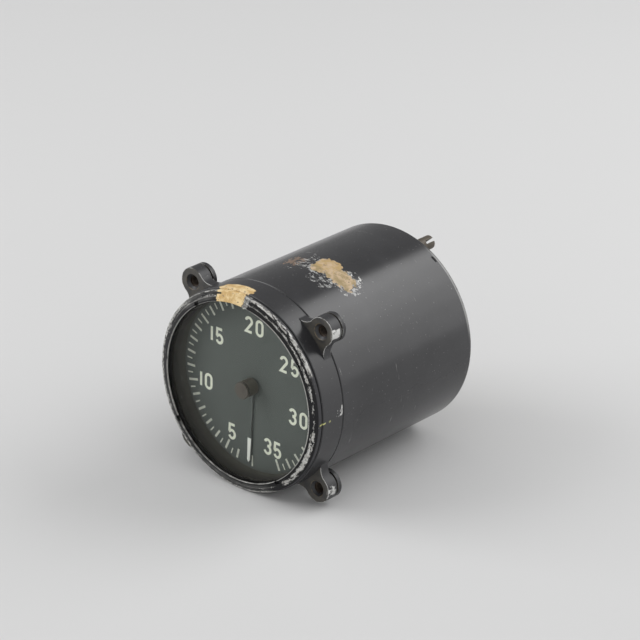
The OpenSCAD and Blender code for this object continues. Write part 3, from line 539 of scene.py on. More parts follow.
def lug_wear(finish, lugs, base, colours):
    """Colour of the lugs: dusty faces, also painted paler as painted light, brown holes and rubbed edges.
    Gives the rubbed lines too.
    """
    hole = LUG_HOLE_R / MM
    # Dust and painted light: the lugs' faces square to the axis are painted paler and browner.
    dust_and_light = lugs * finish.span(finish.facing, 0.7, 0.9) * finish.cloud(0.25, 0.65, 5, detail=4.0)
    base = finish.mix(dust_and_light * 0.4, base, colours.dust)
    mouth = finish.between(finish.from_hole, hole + 0.95, hole + 1.15, 0.08) * lugs
    mouth = mouth * finish.span(finish.depth, 0.7, 0.4) * finish.cloud(0.42, 0.55, 1.6, detail=4.0)
    base = finish.mix(mouth * 0.4, base, colours.primer)
    bore = finish.span(finish.from_hole, hole + 0.08, hole) * lugs
    base = finish.mix(bore, base, colours.hole)

    broken = finish.cloud(0.38, 0.48, 2.6, detail=4.0)
    rubbed = finish.edges(0.5, 0.015, 0.07) * broken * lugs
    rubbed = rubbed * finish.span(finish.from_hole, hole + 1.5, hole + 1.9)
    front = rubbed * finish.span(finish.depth, 0.8, 0.5)
    rest = rubbed * finish.cloud(0.5, 0.6, 3.4, detail=4.0)
    lines = front * 0.9 | rest * 0.45
    return finish.mix(lines, base, colours.bare_metal), lines


def bare_flats(finish):
    """1 on the flats of the two right lugs, more broken on the lower one. The bare metal there is also a
    painted highlight.
    """
    x, _, z = finish.axes
    side = LUG_SIDE / MM
    lower = finish.span(z, 0.0, -MM)
    ragged = (finish.noise(2.0, detail=4.0) - 0.5) * (lower * 4.0 + 2.0)
    middle = finish.span(abs(abs(z) / MM - side) + ragged, 1.9, 1.6)
    flat = finish.span(x / MM, side + 4.4, side + 4.8)
    flaked = finish.span(finish.noise(1.2, detail=5.0, rough=0.7) - lower * 0.1, 0.36, 0.42)
    return middle * flat * finish.between(finish.depth, 0.1, 4.2, 0.2) * flaked


def seam_scratch(finish):
    """1 on a stroke with a hook, and on specks, beside the seam at 3 o'clock."""
    uneven = finish.depth + (finish.noise(1.1, detail=4.0) - 0.5) * 0.9
    stroke = straight_place(finish, "seam_stroke", finish.clock, uneven, 0.3, 0.12)
    hook = straight_place(finish, "seam_hook", finish.clock, uneven, 0.25, 0.12)
    specks = worn_place(finish, "seam_specks", 0.4) * finish.cloud(0.6, 0.65, 0.8)
    return stroke | hook | specks


def ring_paint(colours):
    """Enamel of the front ring: lacquer left at its top, worn lugs and a scratch beside the seam."""
    finish = Finish("ring_enamel")
    base, peel = enamel_coat(finish, colours.enamel, colours.enamel_faded, colours.bare_metal)
    lacquer = worn_place(finish, "ring_lacquer", 0.2)
    base = finish.mix(lacquer, base, stained(finish, colours.lacquer, colours.lacquer_pale, colours.rust))
    base = paint_dashes(finish, base, colours.mark)
    lugs = finish.span(finish.radius, CASE_R / MM + 0.2, CASE_R / MM + 0.6)
    base, lines = lug_wear(finish, lugs, base, colours)
    # Bare metal on the right lugs' flats, which is also a painted highlight.
    flats = bare_flats(finish)
    bare = flats | seam_scratch(finish) * 0.8
    base = finish.mix(bare, base, colours.bare_metal)
    roughness = gloss(finish, lacquer | bare | lines | lugs * 0.6, 0.26, 0.36, 0.5)
    normal = finish.bump(peel * 0.12 - (lacquer | bare), 0.05, 0.6, 0.18)
    return finish.surface(base, roughness, metallic=flats * 0.5, normal=normal)


def worn_top(finish, base, colours):
    """Colour of the can's worn top. Gives the places without enamel, and the bare marks among them."""
    torn = finish.noise(1.6, detail=6.0, rough=0.72)
    brown = worn_place(finish, "brown_streaks", 0.8) * finish.span(torn, 0.45, 0.52)
    base = finish.mix(brown * 0.85, base, colours.rust)
    pale = worn_place(finish, "pale_streaks", 0.8) | worn_place(finish, "pale_flecks", 0.9)
    pale = pale * finish.streaks(0.53, 0.6, 1.2, detail=6.0, rough=0.75, ratio=1.8)
    base = finish.mix(pale * 0.6, base, colours.bare_metal)

    left, right = patch(finish, "primer_left", 0.5), patch(finish, "primer_right", 0.5)
    rim = torn_rim(finish, left, 0.35) | torn_rim(finish, right, 0.3)
    base = finish.mix(rim * 0.6, base, colours.bare_metal)
    amber = worn_place(finish, "can_lacquer", 0.4)
    tan = (inside(finish, left) | inside(finish, right) | amber) * finish.span(torn, 0.3, 0.34)
    thin = finish.mix(amber * 0.5, colours.primer, colours.lacquer)
    base = finish.mix(tan, base, stained(finish, thin, colours.primer_pale, darker(colours.rust, 0.5)))

    marks = worn_place(finish, "bare_marks", 0.9, lobe=1.6) * finish.strokes(3.0, 0.04)
    return finish.mix(marks, base, colours.bare_metal), tan | pale | marks, marks


def can_paint(colours):
    """Enamel of the can, worn through at the top, and paler along its rear edge: rubbed thin there, and a
    painted highlight on the rounded edge.
    """
    finish = Finish("can_enamel")
    base, peel = enamel_coat(finish, colours.enamel, colours.enamel_faded, colours.bare_metal)
    scuffs = finish.span(finish.noise(1.6, rough=0.6, stretch=(0.15, 1.0, 0.15)), 0.68, 0.76)
    base = finish.mix(scuffs * 0.16, base, colours.bare_metal)
    base, lost, marks = worn_top(finish, base, colours)

    # Paler line along the rear edge: partly rubbed-thin enamel, partly a painted highlight on the rounded
    # edge.
    thin = straight_place(finish, "rear_edge", finish.clock, finish.depth, 8.0, 0.25)
    thin = thin * finish.streaks(0.34, 0.48, 1.4)
    base = finish.mix(thin * 0.3, base, colours.bare_metal)
    nick = worn_place(finish, "rear_nick", 0.25, lobe=1.2)
    base = finish.mix(nick * 0.8, base, darker(colours.enamel, 0.3))
    roughness = finish.blend(nick, gloss(finish, lost, 0.19, 0.26, 0.55), 0.9)
    normal = finish.bump(peel * 0.06 - lost, 0.05, 0.6, 0.18)
    return finish.surface(base, roughness, metallic=marks * 0.5, normal=normal)


def stretch(finish, name):
    """1 along a stretch of the bezel."""
    return finish.between(finish.clock, *STRETCHES[name])


def bezel_wear(finish, bottom):
    """1 where the bezel has lost its black: on its lip, its crown and its outer edge."""
    turn, radius = finish.clock, finish.radius
    flaked = stretch(finish, "flaked")
    elsewhere = 1.0 - stretch(finish, "lower_right")
    ragged = radius + (finish.drawn(0.9, detail=6.0, rough=0.75, ratio=1.3) - 0.5) * 3.0
    wander = radius + (finish.drawn(1.6, detail=3.0) - 0.5) * 0.7
    frayed = radius + (finish.drawn(1.0, detail=6.0, rough=0.72, ratio=2.6) - 0.5) * 1.8
    patchy = finish.drawn(1.0, detail=5.0, rough=0.7, ratio=2.5)

    lip = finish.span(radius - (stretch(finish, "wide_lip") * 0.25 + LIP_R), 0.07, -0.07)
    lip = lip * finish.streaks(0.3, 0.42, 2.0)
    dulled = finish.span(turn, -112, -128) | finish.span(turn, 150, 160)
    dulled = dulled * finish.streaks(0.62, 0.4, 0.9, detail=5.0, rough=0.7, ratio=3.0)
    lip = lip * (1.0 - dulled * 0.75)

    half_width = flaked * 0.55 + stretch(finish, "wide_crown") * 0.2 + 0.2
    crown = finish.span(abs(ragged - CROWN_R) - half_width, 0.12, -0.12)
    crown = crown * finish.span(patchy + flaked * 0.12 + stretch(finish, "rubbed") * 0.08, 0.54, 0.6)
    crown = crown * finish.cloud(0.34, 0.42, 0.8, detail=4.0, rough=0.7)
    line = finish.between(wander, CROWN_R - 0.3, CROWN_R - 0.05, 0.1) * finish.span(turn, -62, -48)
    line = line * elsewhere

    edge = finish.between(wander, EDGE_R - 0.05, EDGE_R + 0.4, 0.1) * finish.span(patchy, 0.44, 0.56)
    edge = edge * elsewhere
    flecks = finish.between(frayed, EDGE_R - 0.35, EDGE_R + 0.5, 0.15) * finish.span(patchy, 0.42, 0.5)
    flecks = flecks * (stretch(finish, "flecked") | bottom)
    chips = finish.span(frayed, EDGE_R - 1.3, EDGE_R - 1.0) * stretch(finish, "chipped")
    chips = chips * finish.streaks(0.45, 0.52, 0.9, detail=6.0, rough=0.75, ratio=1.5)
    bare = lip * 0.85 | crown | line * 0.35 | flecks | edge * 0.75 | chips
    return bare * finish.span(finish.depth, -7.6, -7.9)


def bezel_paint(colours):
    """Black bezel with a greyer side, worn to bright metal, with lacquer left at its top."""
    finish = Finish("chipped_bezel")
    side = finish.span(finish.radius, EDGE_R, EDGE_R + 0.2)
    fresh = finish.mix(side, colours.bezel, darker(colours.enamel, 1.6))
    faded = finish.mix(side, darker(colours.enamel, 0.6), darker(colours.enamel_faded, 1.5))
    base, peel = enamel_coat(finish, fresh, faded, colours.bare_metal)
    bottom = finish.span(abs(finish.clock), 150, 160)
    greyed = (stretch(finish, "greyed") | bottom) * finish.span(finish.radius, LIP_R + 0.4, LIP_R + 0.8)
    greyed = greyed * finish.streaks(0.3, 0.6, 1.2, detail=5.0, rough=0.7)
    base = finish.mix(greyed * 0.7, base, darker(colours.bare_metal, 0.16))

    bare = bezel_wear(finish, bottom)
    flecked = finish.cloud(0.35, 0.65, 0.9, detail=5.0, rough=0.7)
    bright = finish.mix(flecked, colours.steel, colours.bare_metal)
    base = finish.mix(bare, base, bright)
    fringe = stretch(finish, "fringe") * finish.streaks(0.42, 0.56, 1.2, detail=5.0, rough=0.7, ratio=1.5)
    base = finish.mix(fringe * 0.55, base, bright)
    wedge = finish.between(finish.radius, EDGE_R - 1.0, EDGE_R - 0.3, 0.15)
    wedge = wedge * finish.span(finish.clock, -12.5, -14.0)
    lacquer = worn_place(finish, "bezel_lacquer", 0.2) * (1.0 - wedge)
    base = finish.mix(lacquer, base, stained(finish, colours.lacquer, colours.lacquer_pale, colours.rust))
    base = paint_dashes(finish, base, colours.mark)

    lost = bare | lacquer | fringe
    satin = finish.blend(side, finish.blend(finish.noise(6, detail=4.0), 0.36, 0.5), 0.28)
    return finish.surface(base, finish.blend(lost, satin, 0.45), metallic=bare * (1.0 - lacquer) * 0.3,
                          normal=finish.bump(peel * 0.15 - lost, 0.05, 0.6, 0.12), specular_ior_level=0.16)


def glass_finish():
    """Clear flat glass, bloomed so that it mirrors only a little."""
    finish = Finish("clear_glass")
    clear = finish.add("ShaderNodeBsdfTransparent", {"Color": (0.98, 0.988, 0.984)})
    smears = finish.span(finish.noise(14, detail=5.0, rough=0.6), 0.3, 0.8, 0.02, 0.09)
    shine = finish.add("ShaderNodeBsdfGlossy", {"Roughness": smears})
    mirror = finish.add("ShaderNodeFresnel", {"IOR": 1.15})
    inputs = {0: mirror.outputs[0], 1: clear.outputs[0], 2: shine.outputs[0]}
    mixed = finish.add("ShaderNodeMixShader", inputs)
    finish.tree.links.new(mixed.outputs[0], finish.output.inputs["Surface"])
    return finish.material


def rubber_finish(colours):
    """Matt rubber with a fine grain."""
    finish = Finish("gasket_rubber")
    dust = finish.cloud(0.45, 0.75, 3, detail=4.0)
    base = finish.mix(dust * 0.4, colours.rubber, colours.enamel_faded)
    return finish.surface(base, 0.8, normal=finish.bump(finish.noise(0.5), 0.03))


def shade_finish(colours):
    """Matt dark ring, paler towards the dial as painted light, with a few scratches."""
    finish = Finish("matt_shade_ring")
    rubbed = finish.cloud(0.5, 0.72, 5, detail=5.0, rough=0.65)
    scratch = finish.streaks(0.66, 0.72, 1.3, ratio=3.0)
    # Painted light and shade: dark near the glass and paler towards the dial, as light falls in the recess.
    base = finish.mix(finish.span(finish.depth, -6.5, -0.6), colours.shade, colours.shade_pale)
    base = finish.mix(rubbed * 0.2, base, colours.hub)
    base = finish.mix(scratch * 0.2, base, colours.bare_metal)
    normal = finish.bump(finish.noise(0.4), 0.02)
    return finish.surface(base, 0.66, normal=normal, specular_ior_level=0.3)


def dial_finish(colours):
    """Matt grey-green paint with a faint speckle, and painted shade that darkens it towards its rim."""
    finish = Finish("matt_dial_paint")
    cloud = finish.cloud(0.3, 0.75, 22)
    speck = finish.cloud(0.64, 0.74, 0.45, detail=2.0)
    base = finish.mix(cloud, colours.dial, darker(colours.dial, 0.93))
    base = finish.mix(speck * 0.05, base, colours.ticks)
    # Painted shade: the dial is darkened towards its rim, where the shade ring's wall shades it.
    base = finish.mix(finish.span(finish.radius, 33.2, 35.4) * 0.3, base, colours.shade)
    normal = finish.bump(finish.noise(0.25, detail=2.0), 0.005)
    return finish.surface(base, 0.75, normal=normal, specular_ior_level=0.3)


def luminous_finish(name, tint, dirt):
    """Aged luminous paint: grainy, with dirt in its low places."""
    finish = Finish(name)
    stain = finish.cloud(0.42, 0.7, 1.3, detail=4.0, rough=0.65)
    base = finish.mix(stain * dirt, tint, darker(tint, 0.55))
    return finish.surface(base, 0.78, normal=finish.bump(finish.noise(0.35), 0.02))


def pointer_finish(colours):
    """Matt paint of the pointer, painted paler on its cut edges: painted light that lifts the shade beside
    the stem.
    """
    finish = Finish("matt_pointer")
    mottle = finish.cloud(0.35, 0.7, 3, detail=4.0)
    base = finish.mix(mottle * 0.3, colours.stem, darker(colours.stem, 0.7))
    # Painted light: the pointer's side faces are painted paler, lifting the shade along the stem.
    base = finish.mix(finish.span(finish.facing, 0.6, 0.4), base, colours.stem_edge)
    return finish.surface(base, 0.7, normal=finish.bump(finish.noise(0.3), 0.02))


def turned_metal(name, tint, roughness, tarnish=0.35, ring=0.35, metallic=1.0, barrel=None):
    """Metal turned on a lathe: fine rings round the axis, a patchy tarnish and maybe a paler tint for its
    side, which is painted light.
    """
    finish = Finish(name)
    dull = finish.cloud(0.38, 0.72, 4, detail=5.0, rough=0.65)
    base = finish.mix(dull * tarnish, tint, darker(tint, 0.42))
    # Painted light: the faces along the axis take the paler tint, standing for light on the side.
    if barrel:
        base = finish.mix(finish.span(finish.facing, 0.6, 0.4), base, barrel)
    turning = (finish.radius + finish.depth * 0.7) * (2 * math.pi / ring)
    uneven = finish.math("SINE", turning) * 0.4 + finish.noise(0.5)
    spread = finish.blend(dull, roughness, min(1.0, roughness + 0.22))
    return finish.surface(base, spread, metallic=metallic, normal=finish.bump(uneven, 0.006, 0.5, 0.12))


def cast_finish(name, tint, roughness, grain, metallic=0.0):
    """Plain moulded, sintered or painted piece with a grain."""
    finish = Finish(name)
    mottle = finish.cloud(0.35, 0.7, 3, detail=4.0)
    base = finish.mix(mottle * 0.5, tint, darker(tint, 0.62))
    return finish.surface(base, roughness, metallic=metallic, normal=finish.bump(finish.noise(grain), 0.02))


def paint(material, *names):
    """Gives CAD nodes a finish."""
    for name in names:
        slots = NODES[name].data.materials
        slots.clear()
        slots.append(material)


def add_piece(name, mesh, material, body):
    """Puts a finished mesh in the scene, with its finish, on a body."""
    mesh.normal_update()
    data = bpy.data.meshes.new(name)
    mesh.to_mesh(data)
    mesh.free()
    data.materials.append(material)
    piece = bpy.data.objects.new(name, data)
    bpy.context.scene.collection.objects.link(piece)
    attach(piece, body)
    return piece


def ellipse(centre, radii, first, last, steps=20):
    """Points along an ellipse between two angles in degrees, counted from +x towards +z."""
    turns = [math.radians(first + (last - first) * i / steps) for i in range(steps + 1)]
    return [Vector((centre[0] + radii[0] * math.cos(t), centre[1] + radii[1] * math.sin(t))) for t in turns]


def figure_lines(figure, half_w, half_h):
    """Middle lines of a figure's strokes, each with whether it closes on itself."""
    bowl = half_h * 0.58
    top_bowl = half_h * 0.47
    if figure == "0":
        return [(ellipse((0, half_h - half_w), (half_w, half_w), 0, 180) +
                 ellipse((0, half_w - half_h), (half_w, half_w), 180, 360), True)]
    if figure == "1":
        return [([Vector((0, half_h)), Vector((0, -half_h))], False)]
    if figure == "2":
        head = ellipse((0, half_h - half_w), (half_w, half_w), 172, -32)
        return [(head + [Vector((-half_w, -half_h)), Vector((half_w, -half_h))], False)]
    if figure == "3":
        upper = ellipse((0, half_h - top_bowl), (half_w * 0.94, top_bowl), 165, -95)
        lower = ellipse((0, bowl - half_h * 1.05), (half_w, bowl * 0.95), 92, -165)
        return [(upper, False), (lower, False)]
    if figure == "5":
        neck = [Vector((half_w * 0.92, half_h)), Vector((-half_w * 0.8, half_h)),
                Vector((-half_w * 0.92, half_h * 0.06))]
        return [(neck + ellipse((0, bowl - half_h), (half_w, bowl), 138, -158), False)]
    raise ValueError(f"no strokes for figure {figure}")


def ribbon(mesh, line, closed, width, front, back):
    """Flat raised stroke along a middle line in the dial's plane."""
    count = len(line)
    sides = []
    for i, point in enumerate(line):
        before = line[i - 1] if closed or i else None
        after = line[(i + 1) % count] if closed or i < count - 1 else None
        arms = [(point - before).normalized() if before is not None and (point - before).length else None,
                (after - point).normalized() if after is not None and (after - point).length else None]
        arms = [arm for arm in arms if arm is not None]
        along = sum(arms, Vector((0, 0))).normalized()
        across = Vector((-along.y, along.x))
        # A corner's mitre reaches at most twice as far as the stroke's side
        reach = width / 2 / max(0.5, abs(across.dot(Vector((-arms[0].y, arms[0].x)))))
        sides.append((point + across * reach, point - across * reach))
    rows = [[mesh.verts.new((p.x, y, p.y)) for p in pair for y in (front, back)] for pair in sides]
    pairs = list(zip(rows, rows[1:] + rows[:1])) if closed else list(zip(rows, rows[1:]))
    for a, b in pairs:
        for i, j in ((0, 2), (2, 3), (3, 1), (1, 0)):
            mesh.faces.new((a[i], a[j], b[j], b[i]))
    if not closed:
        for end in (rows[0], rows[-1]):
            mesh.faces.new((end[0], end[1], end[3], end[2]))


def clock_point(turn, radius):
    """Point in the dial's plane at a clock angle and a distance from the axis."""
    return Vector((radius * math.sin(turn), radius * math.cos(turn)))


def finish_strokes(mesh):
    """Cleans raised strokes: one vertex per corner, faces turned outwards."""
    bmesh.ops.remove_doubles(mesh, verts=mesh.verts, dist=1e-7)
    bmesh.ops.recalc_face_normals(mesh, faces=mesh.faces)


def scale_marks(sizes):
    """Marks of the scale, every half unit, and the start mark at 6 o'clock."""
    mesh = bmesh.new()
    front, back = DIAL_FRONT - sizes.relief, DIAL_FRONT
    for half in range(2 * sizes.first_unit, 2 * sizes.last_unit + 1):
        turn = (half / 2 - sizes.top_unit) * sizes.unit_angle
        inner, width = sizes.unit_inner, sizes.tick_width
        if half % 2:
            inner, width = sizes.half_inner, sizes.half_width
        elif half % 10 == 0:
            inner = sizes.five_inner
        line = [clock_point(turn, inner), clock_point(turn, sizes.tick_outer)]
        ribbon(mesh, line, False, width, front, back)
    start = [clock_point(math.pi, sizes.five_inner), clock_point(math.pi, sizes.tick_outer)]
    ribbon(mesh, start, False, sizes.start_width, front, back)
    finish_strokes(mesh)
    return mesh


def scale_figures(sizes):
    """Upright figures of the scale."""
    mesh = bmesh.new()
    front, back = DIAL_FRONT - sizes.relief, DIAL_FRONT
    half_w, half_h = (sizes.figure_width - sizes.stroke) / 2, (sizes.figure_height - sizes.stroke) / 2
    for value, (clock, distance, gap) in FIGURE_PLACES.items():
        centre = clock_point(math.radians(clock), distance * MM)
        widths = [sizes.stroke if figure == "1" else sizes.figure_width for figure in str(value)]
        left = -(sum(widths) + gap * MM * (len(widths) - 1)) / 2
        for figure, width in zip(str(value), widths):
            middle = centre + Vector((left + width / 2, 0))
            for layer, (line, closed) in enumerate(figure_lines(figure, half_w, half_h)):
                # A second stroke lies a little higher, so that the two don't share a face where they cross
                lift = layer * sizes.relief / 8
                ribbon(mesh, [middle + point for point in line], closed, sizes.stroke, front - lift, back)
            left += width + gap * MM
    finish_strokes(mesh)
    return mesh


def lathe(profile, steps, shift):
    """Closed mesh turned about the instrument's axis from (radius, station) points, shifted in and out."""
    mesh = bmesh.new()
    rings = []
    for radius, station in profile:
        ring = []
        for i in range(steps):
            turn = 2 * math.pi * i / steps
            r = radius + shift(radius, station, turn)
            ring.append(mesh.verts.new((r * math.sin(turn), station, r * math.cos(turn))))
        rings.append(ring)
    for a, b in zip(rings, rings[1:] + rings[:1]):
        for i in range(steps):
            j = (i + 1) % steps
            mesh.faces.new((a[i], a[j], b[j], b[i]))
    bmesh.ops.recalc_face_normals(mesh, faces=mesh.faces)
    return mesh


def union_mesh(sizes):
    """Drive union with a cut thread, inside the space of the CAD piece."""
    front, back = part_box("drive_union")[0].y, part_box("drive_union")[1].y
    thread = MOUNTS["drive_thread"]
    bore = MOUNTS["ferrule_bore"]
    crest = thread["dims"]["r_mm"] * MM
    half = thread["dims"]["length_mm"] * MM / 2
    start, end = thread["pos_m"][1] - half, thread["pos_m"][1] + half
    bore_r = bore["dims"]["r_mm"] * MM
    bore_seat = back - bore["dims"]["length_mm"] * MM
    flange_back = UNION_SEAT + sizes.flange_thickness
    pocket_back = UNION_SEAT - sizes.pocket_lead
    bevel = sizes.bevel
    rows = round((end - start) / sizes.union_pitch * PITCH_ROWS)
    threaded = [(crest, start + (end - start) * i / rows) for i in range(rows + 1)]
    profile = [
        (sizes.pocket_radius, front), (crest - bevel, front), (crest, front + bevel), (crest, UNION_SEAT),
        (UNION_R - bevel, UNION_SEAT), (UNION_R, UNION_SEAT + bevel),
        (UNION_R, flange_back - bevel), (UNION_R - bevel, flange_back),
        (sizes.relief_radius, flange_back), (sizes.relief_radius, start - (crest - sizes.relief_radius)),
        *threaded, (crest - (back - end), back),
        (bore_r + bevel, back), (bore_r, back - bevel), (bore_r, bore_seat),
        (sizes.throat_radius, bore_seat), (sizes.throat_radius, pocket_back),
        (sizes.pocket_radius, pocket_back),
    ]

    def cut(radius, station, turn):
        """How far the thread's groove takes a point of the profile inwards."""
        if radius < crest or not start <= station <= end:
            return 0.0
        phase = ((station - start) / sizes.union_pitch - turn / (2 * math.pi)) % 1.0
        flank = min(1.0, max(0.0, (abs(2 * phase - 1) - sizes.flat) / (1 - 2 * sizes.flat)))
        run_out = min(1.0, (end - station) / sizes.union_pitch, (station - start) / sizes.union_pitch + 0.2)
        return -sizes.union_depth * flank * run_out

    return lathe(profile, UNION_CORNERS, cut)


def lug_threads(sizes):
    """Helical thread ridges in the four lug holes, with their feet sunk a little into the holes' walls."""
    mesh = bmesh.new()
    low, high = sizes.lug_start, lug_back()
    count = int((high - low - sizes.lug_pitch) / sizes.lug_pitch * RIDGE_ROWS)
    root, crest = LUG_HOLE_R + 0.02 * MM, LUG_HOLE_R - sizes.lug_depth
    half = sizes.lug_pitch * 0.42
    section = ((root, -half), (crest, -half * 0.25), (crest, half * 0.25), (root, half))
    for side_x in (-LUG_SIDE, LUG_SIDE):
        for side_z in (-LUG_SIDE, LUG_SIDE):
            rows = []
            for i in range(count + 1):
                turn = 2 * math.pi * i / RIDGE_ROWS
                station = low + half + sizes.lug_pitch * i / RIDGE_ROWS
                x, z = math.sin(turn), math.cos(turn)
                corners = [(side_x + r * x, station + y, side_z + r * z) for r, y in section]
                rows.append([mesh.verts.new(corner) for corner in corners])
            for a, b in zip(rows, rows[1:]):
                for k in range(len(section)):
                    m = (k + 1) % len(section)
                    mesh.faces.new((a[k], a[m], b[m], b[k]))
            mesh.faces.new(rows[0])
            mesh.faces.new(rows[-1])
    bmesh.ops.recalc_face_normals(mesh, faces=mesh.faces)
    return mesh


def lug_back():
    """Station of the lug bosses' back faces, the furthest points of the ring outside the case."""
    return max(v.co.y for v in NODES["front_ring"].data.vertices if math.hypot(v.co.x, v.co.z) > CASE_R)


def aim(thing, target, roll=0.0):
    """Turns a camera or lamp to look at a point."""
    turn = (Vector(target) - thing.location).to_track_quat("-Z", "Y")
    thing.rotation_mode = "QUATERNION"
    thing.rotation_quaternion = turn @ Quaternion((0, 0, 1), roll)


def softbox(name, spot, target, width, height, power):
    """A soft rectangular lamp."""
    lamp = bpy.data.lights.new(name, "AREA")
    lamp.shape = "RECTANGLE"
    lamp.size, lamp.size_y = width, height
    lamp.energy = power
    holder = bpy.data.objects.new(name, lamp)
    holder.location = spot
    bpy.context.scene.collection.objects.link(holder)
    aim(holder, target)


def lay_floor(scene, stage):
    """Pale floor under the instrument."""
    mesh = bmesh.new()
    bmesh.ops.create_grid(mesh, x_segments=1, y_segments=1, size=stage.floor_reach)
    data = bpy.data.meshes.new("floor")
    mesh.to_mesh(data)
    mesh.free()
    finish = Finish("pale_floor")
    paler = tuple(min(1.0, 1.03 * channel) for channel in stage.floor)
    cloudy = finish.mix(finish.noise(350), stage.floor, paler)
    data.materials.append(finish.surface(cloudy, 0.7, specular_ior_level=0.2))
    floor = bpy.data.objects.new("floor", data)
    floor.location.z = FLOOR_Z
    scene.collection.objects.link(floor)


def light_walls(scene, stage):
    """World that stands for the studio's pale walls, darker behind on the left."""
    world = bpy.data.worlds.new("studio")
    scene.world = world
    world.use_nodes = True
    nodes, links = world.node_tree.nodes, world.node_tree.links
    background = nodes["Background"]
    background.inputs["Color"].default_value = (1.0, 1.0, 1.0, 1.0)
    towards = nodes.new("ShaderNodeVectorMath")
    towards.operation = "DOT_PRODUCT"
    towards.inputs[1].default_value = Vector(stage.dark_side).normalized()
    wall = nodes.new("ShaderNodeMapRange")
    wall.interpolation_type = "SMOOTHSTEP"
    levels = {"From Min": stage.dark_edge, "From Max": stage.dark_core,
              "To Min": stage.dome, "To Max": stage.dark_wall}
    for socket, value in levels.items():
        wall.inputs[socket].default_value = value
    links.new(nodes.new("ShaderNodeTexCoord").outputs["Generated"], towards.inputs[0])
    links.new(towards.outputs["Value"], wall.inputs["Value"])
    links.new(wall.outputs["Result"], background.inputs["Strength"])


def hang_lamps(stage):
    """Light panel behind on the right, brighter towards its head, and a softbox at the front left."""
    target, middle, rows = Vector(stage.lamp_target), Vector(stage.panel_place), stage.panel_rows
    height = stage.panel_height / rows
    rise = (target - middle).to_track_quat("-Z", "Y") @ Vector((0.0, height, 0.0))
    for row in range(rows):
        shift = rise * (row - (rows - 1) / 2)
        share = (row / (rows - 1)) ** stage.panel_curve
        bright = stage.panel_low + (stage.panel_high - stage.panel_low) * share
        # A flat lamp of this brightness gives off pi times that much from each square metre
        power = bright * math.pi * stage.panel_width * height
        softbox(f"light_panel_{row}", middle + shift, target + shift, stage.panel_width, height, power)
    softbox("key_light", stage.key_place, target, stage.key_size, stage.key_size, stage.key)


def place_camera(scene, stage):
    """Camera that looks at the instrument from the front right."""
    camera = bpy.data.cameras.new("camera")
    camera.sensor_fit = "HORIZONTAL"
    camera.lens = stage.lens
    camera.clip_end = 20.0
    holder = bpy.data.objects.new("camera", camera)
    holder.location = stage.camera_place
    aim(holder, stage.camera_target, stage.camera_roll)
    scene.collection.objects.link(holder)
    scene.camera = holder


class TACHOMETER_OT_stage(bpy.types.Operator):
    """Floor, walls, lamps and camera"""
    bl_idname = "tachometer.stage"
    bl_label = "Stage"

    def execute(self, context):
        scene = context.scene
        scene.view_settings.view_transform = "Standard"
        lay_floor(scene, scene.tachometer_stage)
        light_walls(scene, scene.tachometer_stage)
        hang_lamps(scene.tachometer_stage)
        place_camera(scene, scene.tachometer_stage)
        return {"FINISHED"}


class TACHOMETER_OT_case(bpy.types.Operator):
    """Enamel of the front ring and the can, the gaskets, and the threads in the lugs"""
    bl_idname = "tachometer.case"
    bl_label = "Case"

    def execute(self, context):
        colours = context.scene.tachometer_finish
        paint(ring_paint(colours), "front_ring")
        paint(can_paint(colours), "case_can")
        paint(rubber_finish(colours), "case_gasket", "glass_gasket", "union_gasket")
        thread = turned_metal("brown_thread", colours.hole, 0.5, tarnish=0.5, ring=0.3, metallic=0.4)
        add_piece("lug_threads", lug_threads(context.scene.tachometer_thread), thread, "case")
        return {"FINISHED"}


class TACHOMETER_OT_bezel(bpy.types.Operator):
    """Chipped bezel and its glass"""
    bl_idname = "tachometer.bezel"
    bl_label = "Bezel and glass"

    def execute(self, context):
        paint(bezel_paint(context.scene.tachometer_finish), "bezel_ring")
        paint(glass_finish(), "cover_glass")
        return {"FINISHED"}


class TACHOMETER_OT_dial(bpy.types.Operator):
    """Dial, its scale and figures, and the ring round it"""
    bl_idname = "tachometer.dial"
    bl_label = "Dial"

    def execute(self, context):
        colours = context.scene.tachometer_finish
        sizes = context.scene.tachometer_dial
        paint(dial_finish(colours), "dial_plate")
        paint(shade_finish(colours), "shade_ring")
        marks = luminous_finish("luminous_marks", colours.ticks, 0.45)
        figures = luminous_finish("luminous_figures", colours.figures, 0.2)
        add_piece("scale_marks", scale_marks(sizes), marks, "case")
        add_piece("scale_figures", scale_figures(sizes), figures, "case")
        return {"FINISHED"}


class TACHOMETER_OT_pointer(bpy.types.Operator):
    """Pointer, its luminous bar and its hub"""
    bl_idname = "tachometer.pointer"
    bl_label = "Pointer"

    def execute(self, context):
        colours = context.scene.tachometer_finish
        paint(pointer_finish(colours), "pointer")
        paint(luminous_finish("luminous_bar", colours.bar, 0.1), "pointer_lume")
        hub = turned_metal("darkened_hub", colours.hub, 0.5, tarnish=0.3, ring=0.4, metallic=0.35,
                           barrel=colours.barrel)
        paint(hub, "pointer_hub")
        return {"FINISHED"}


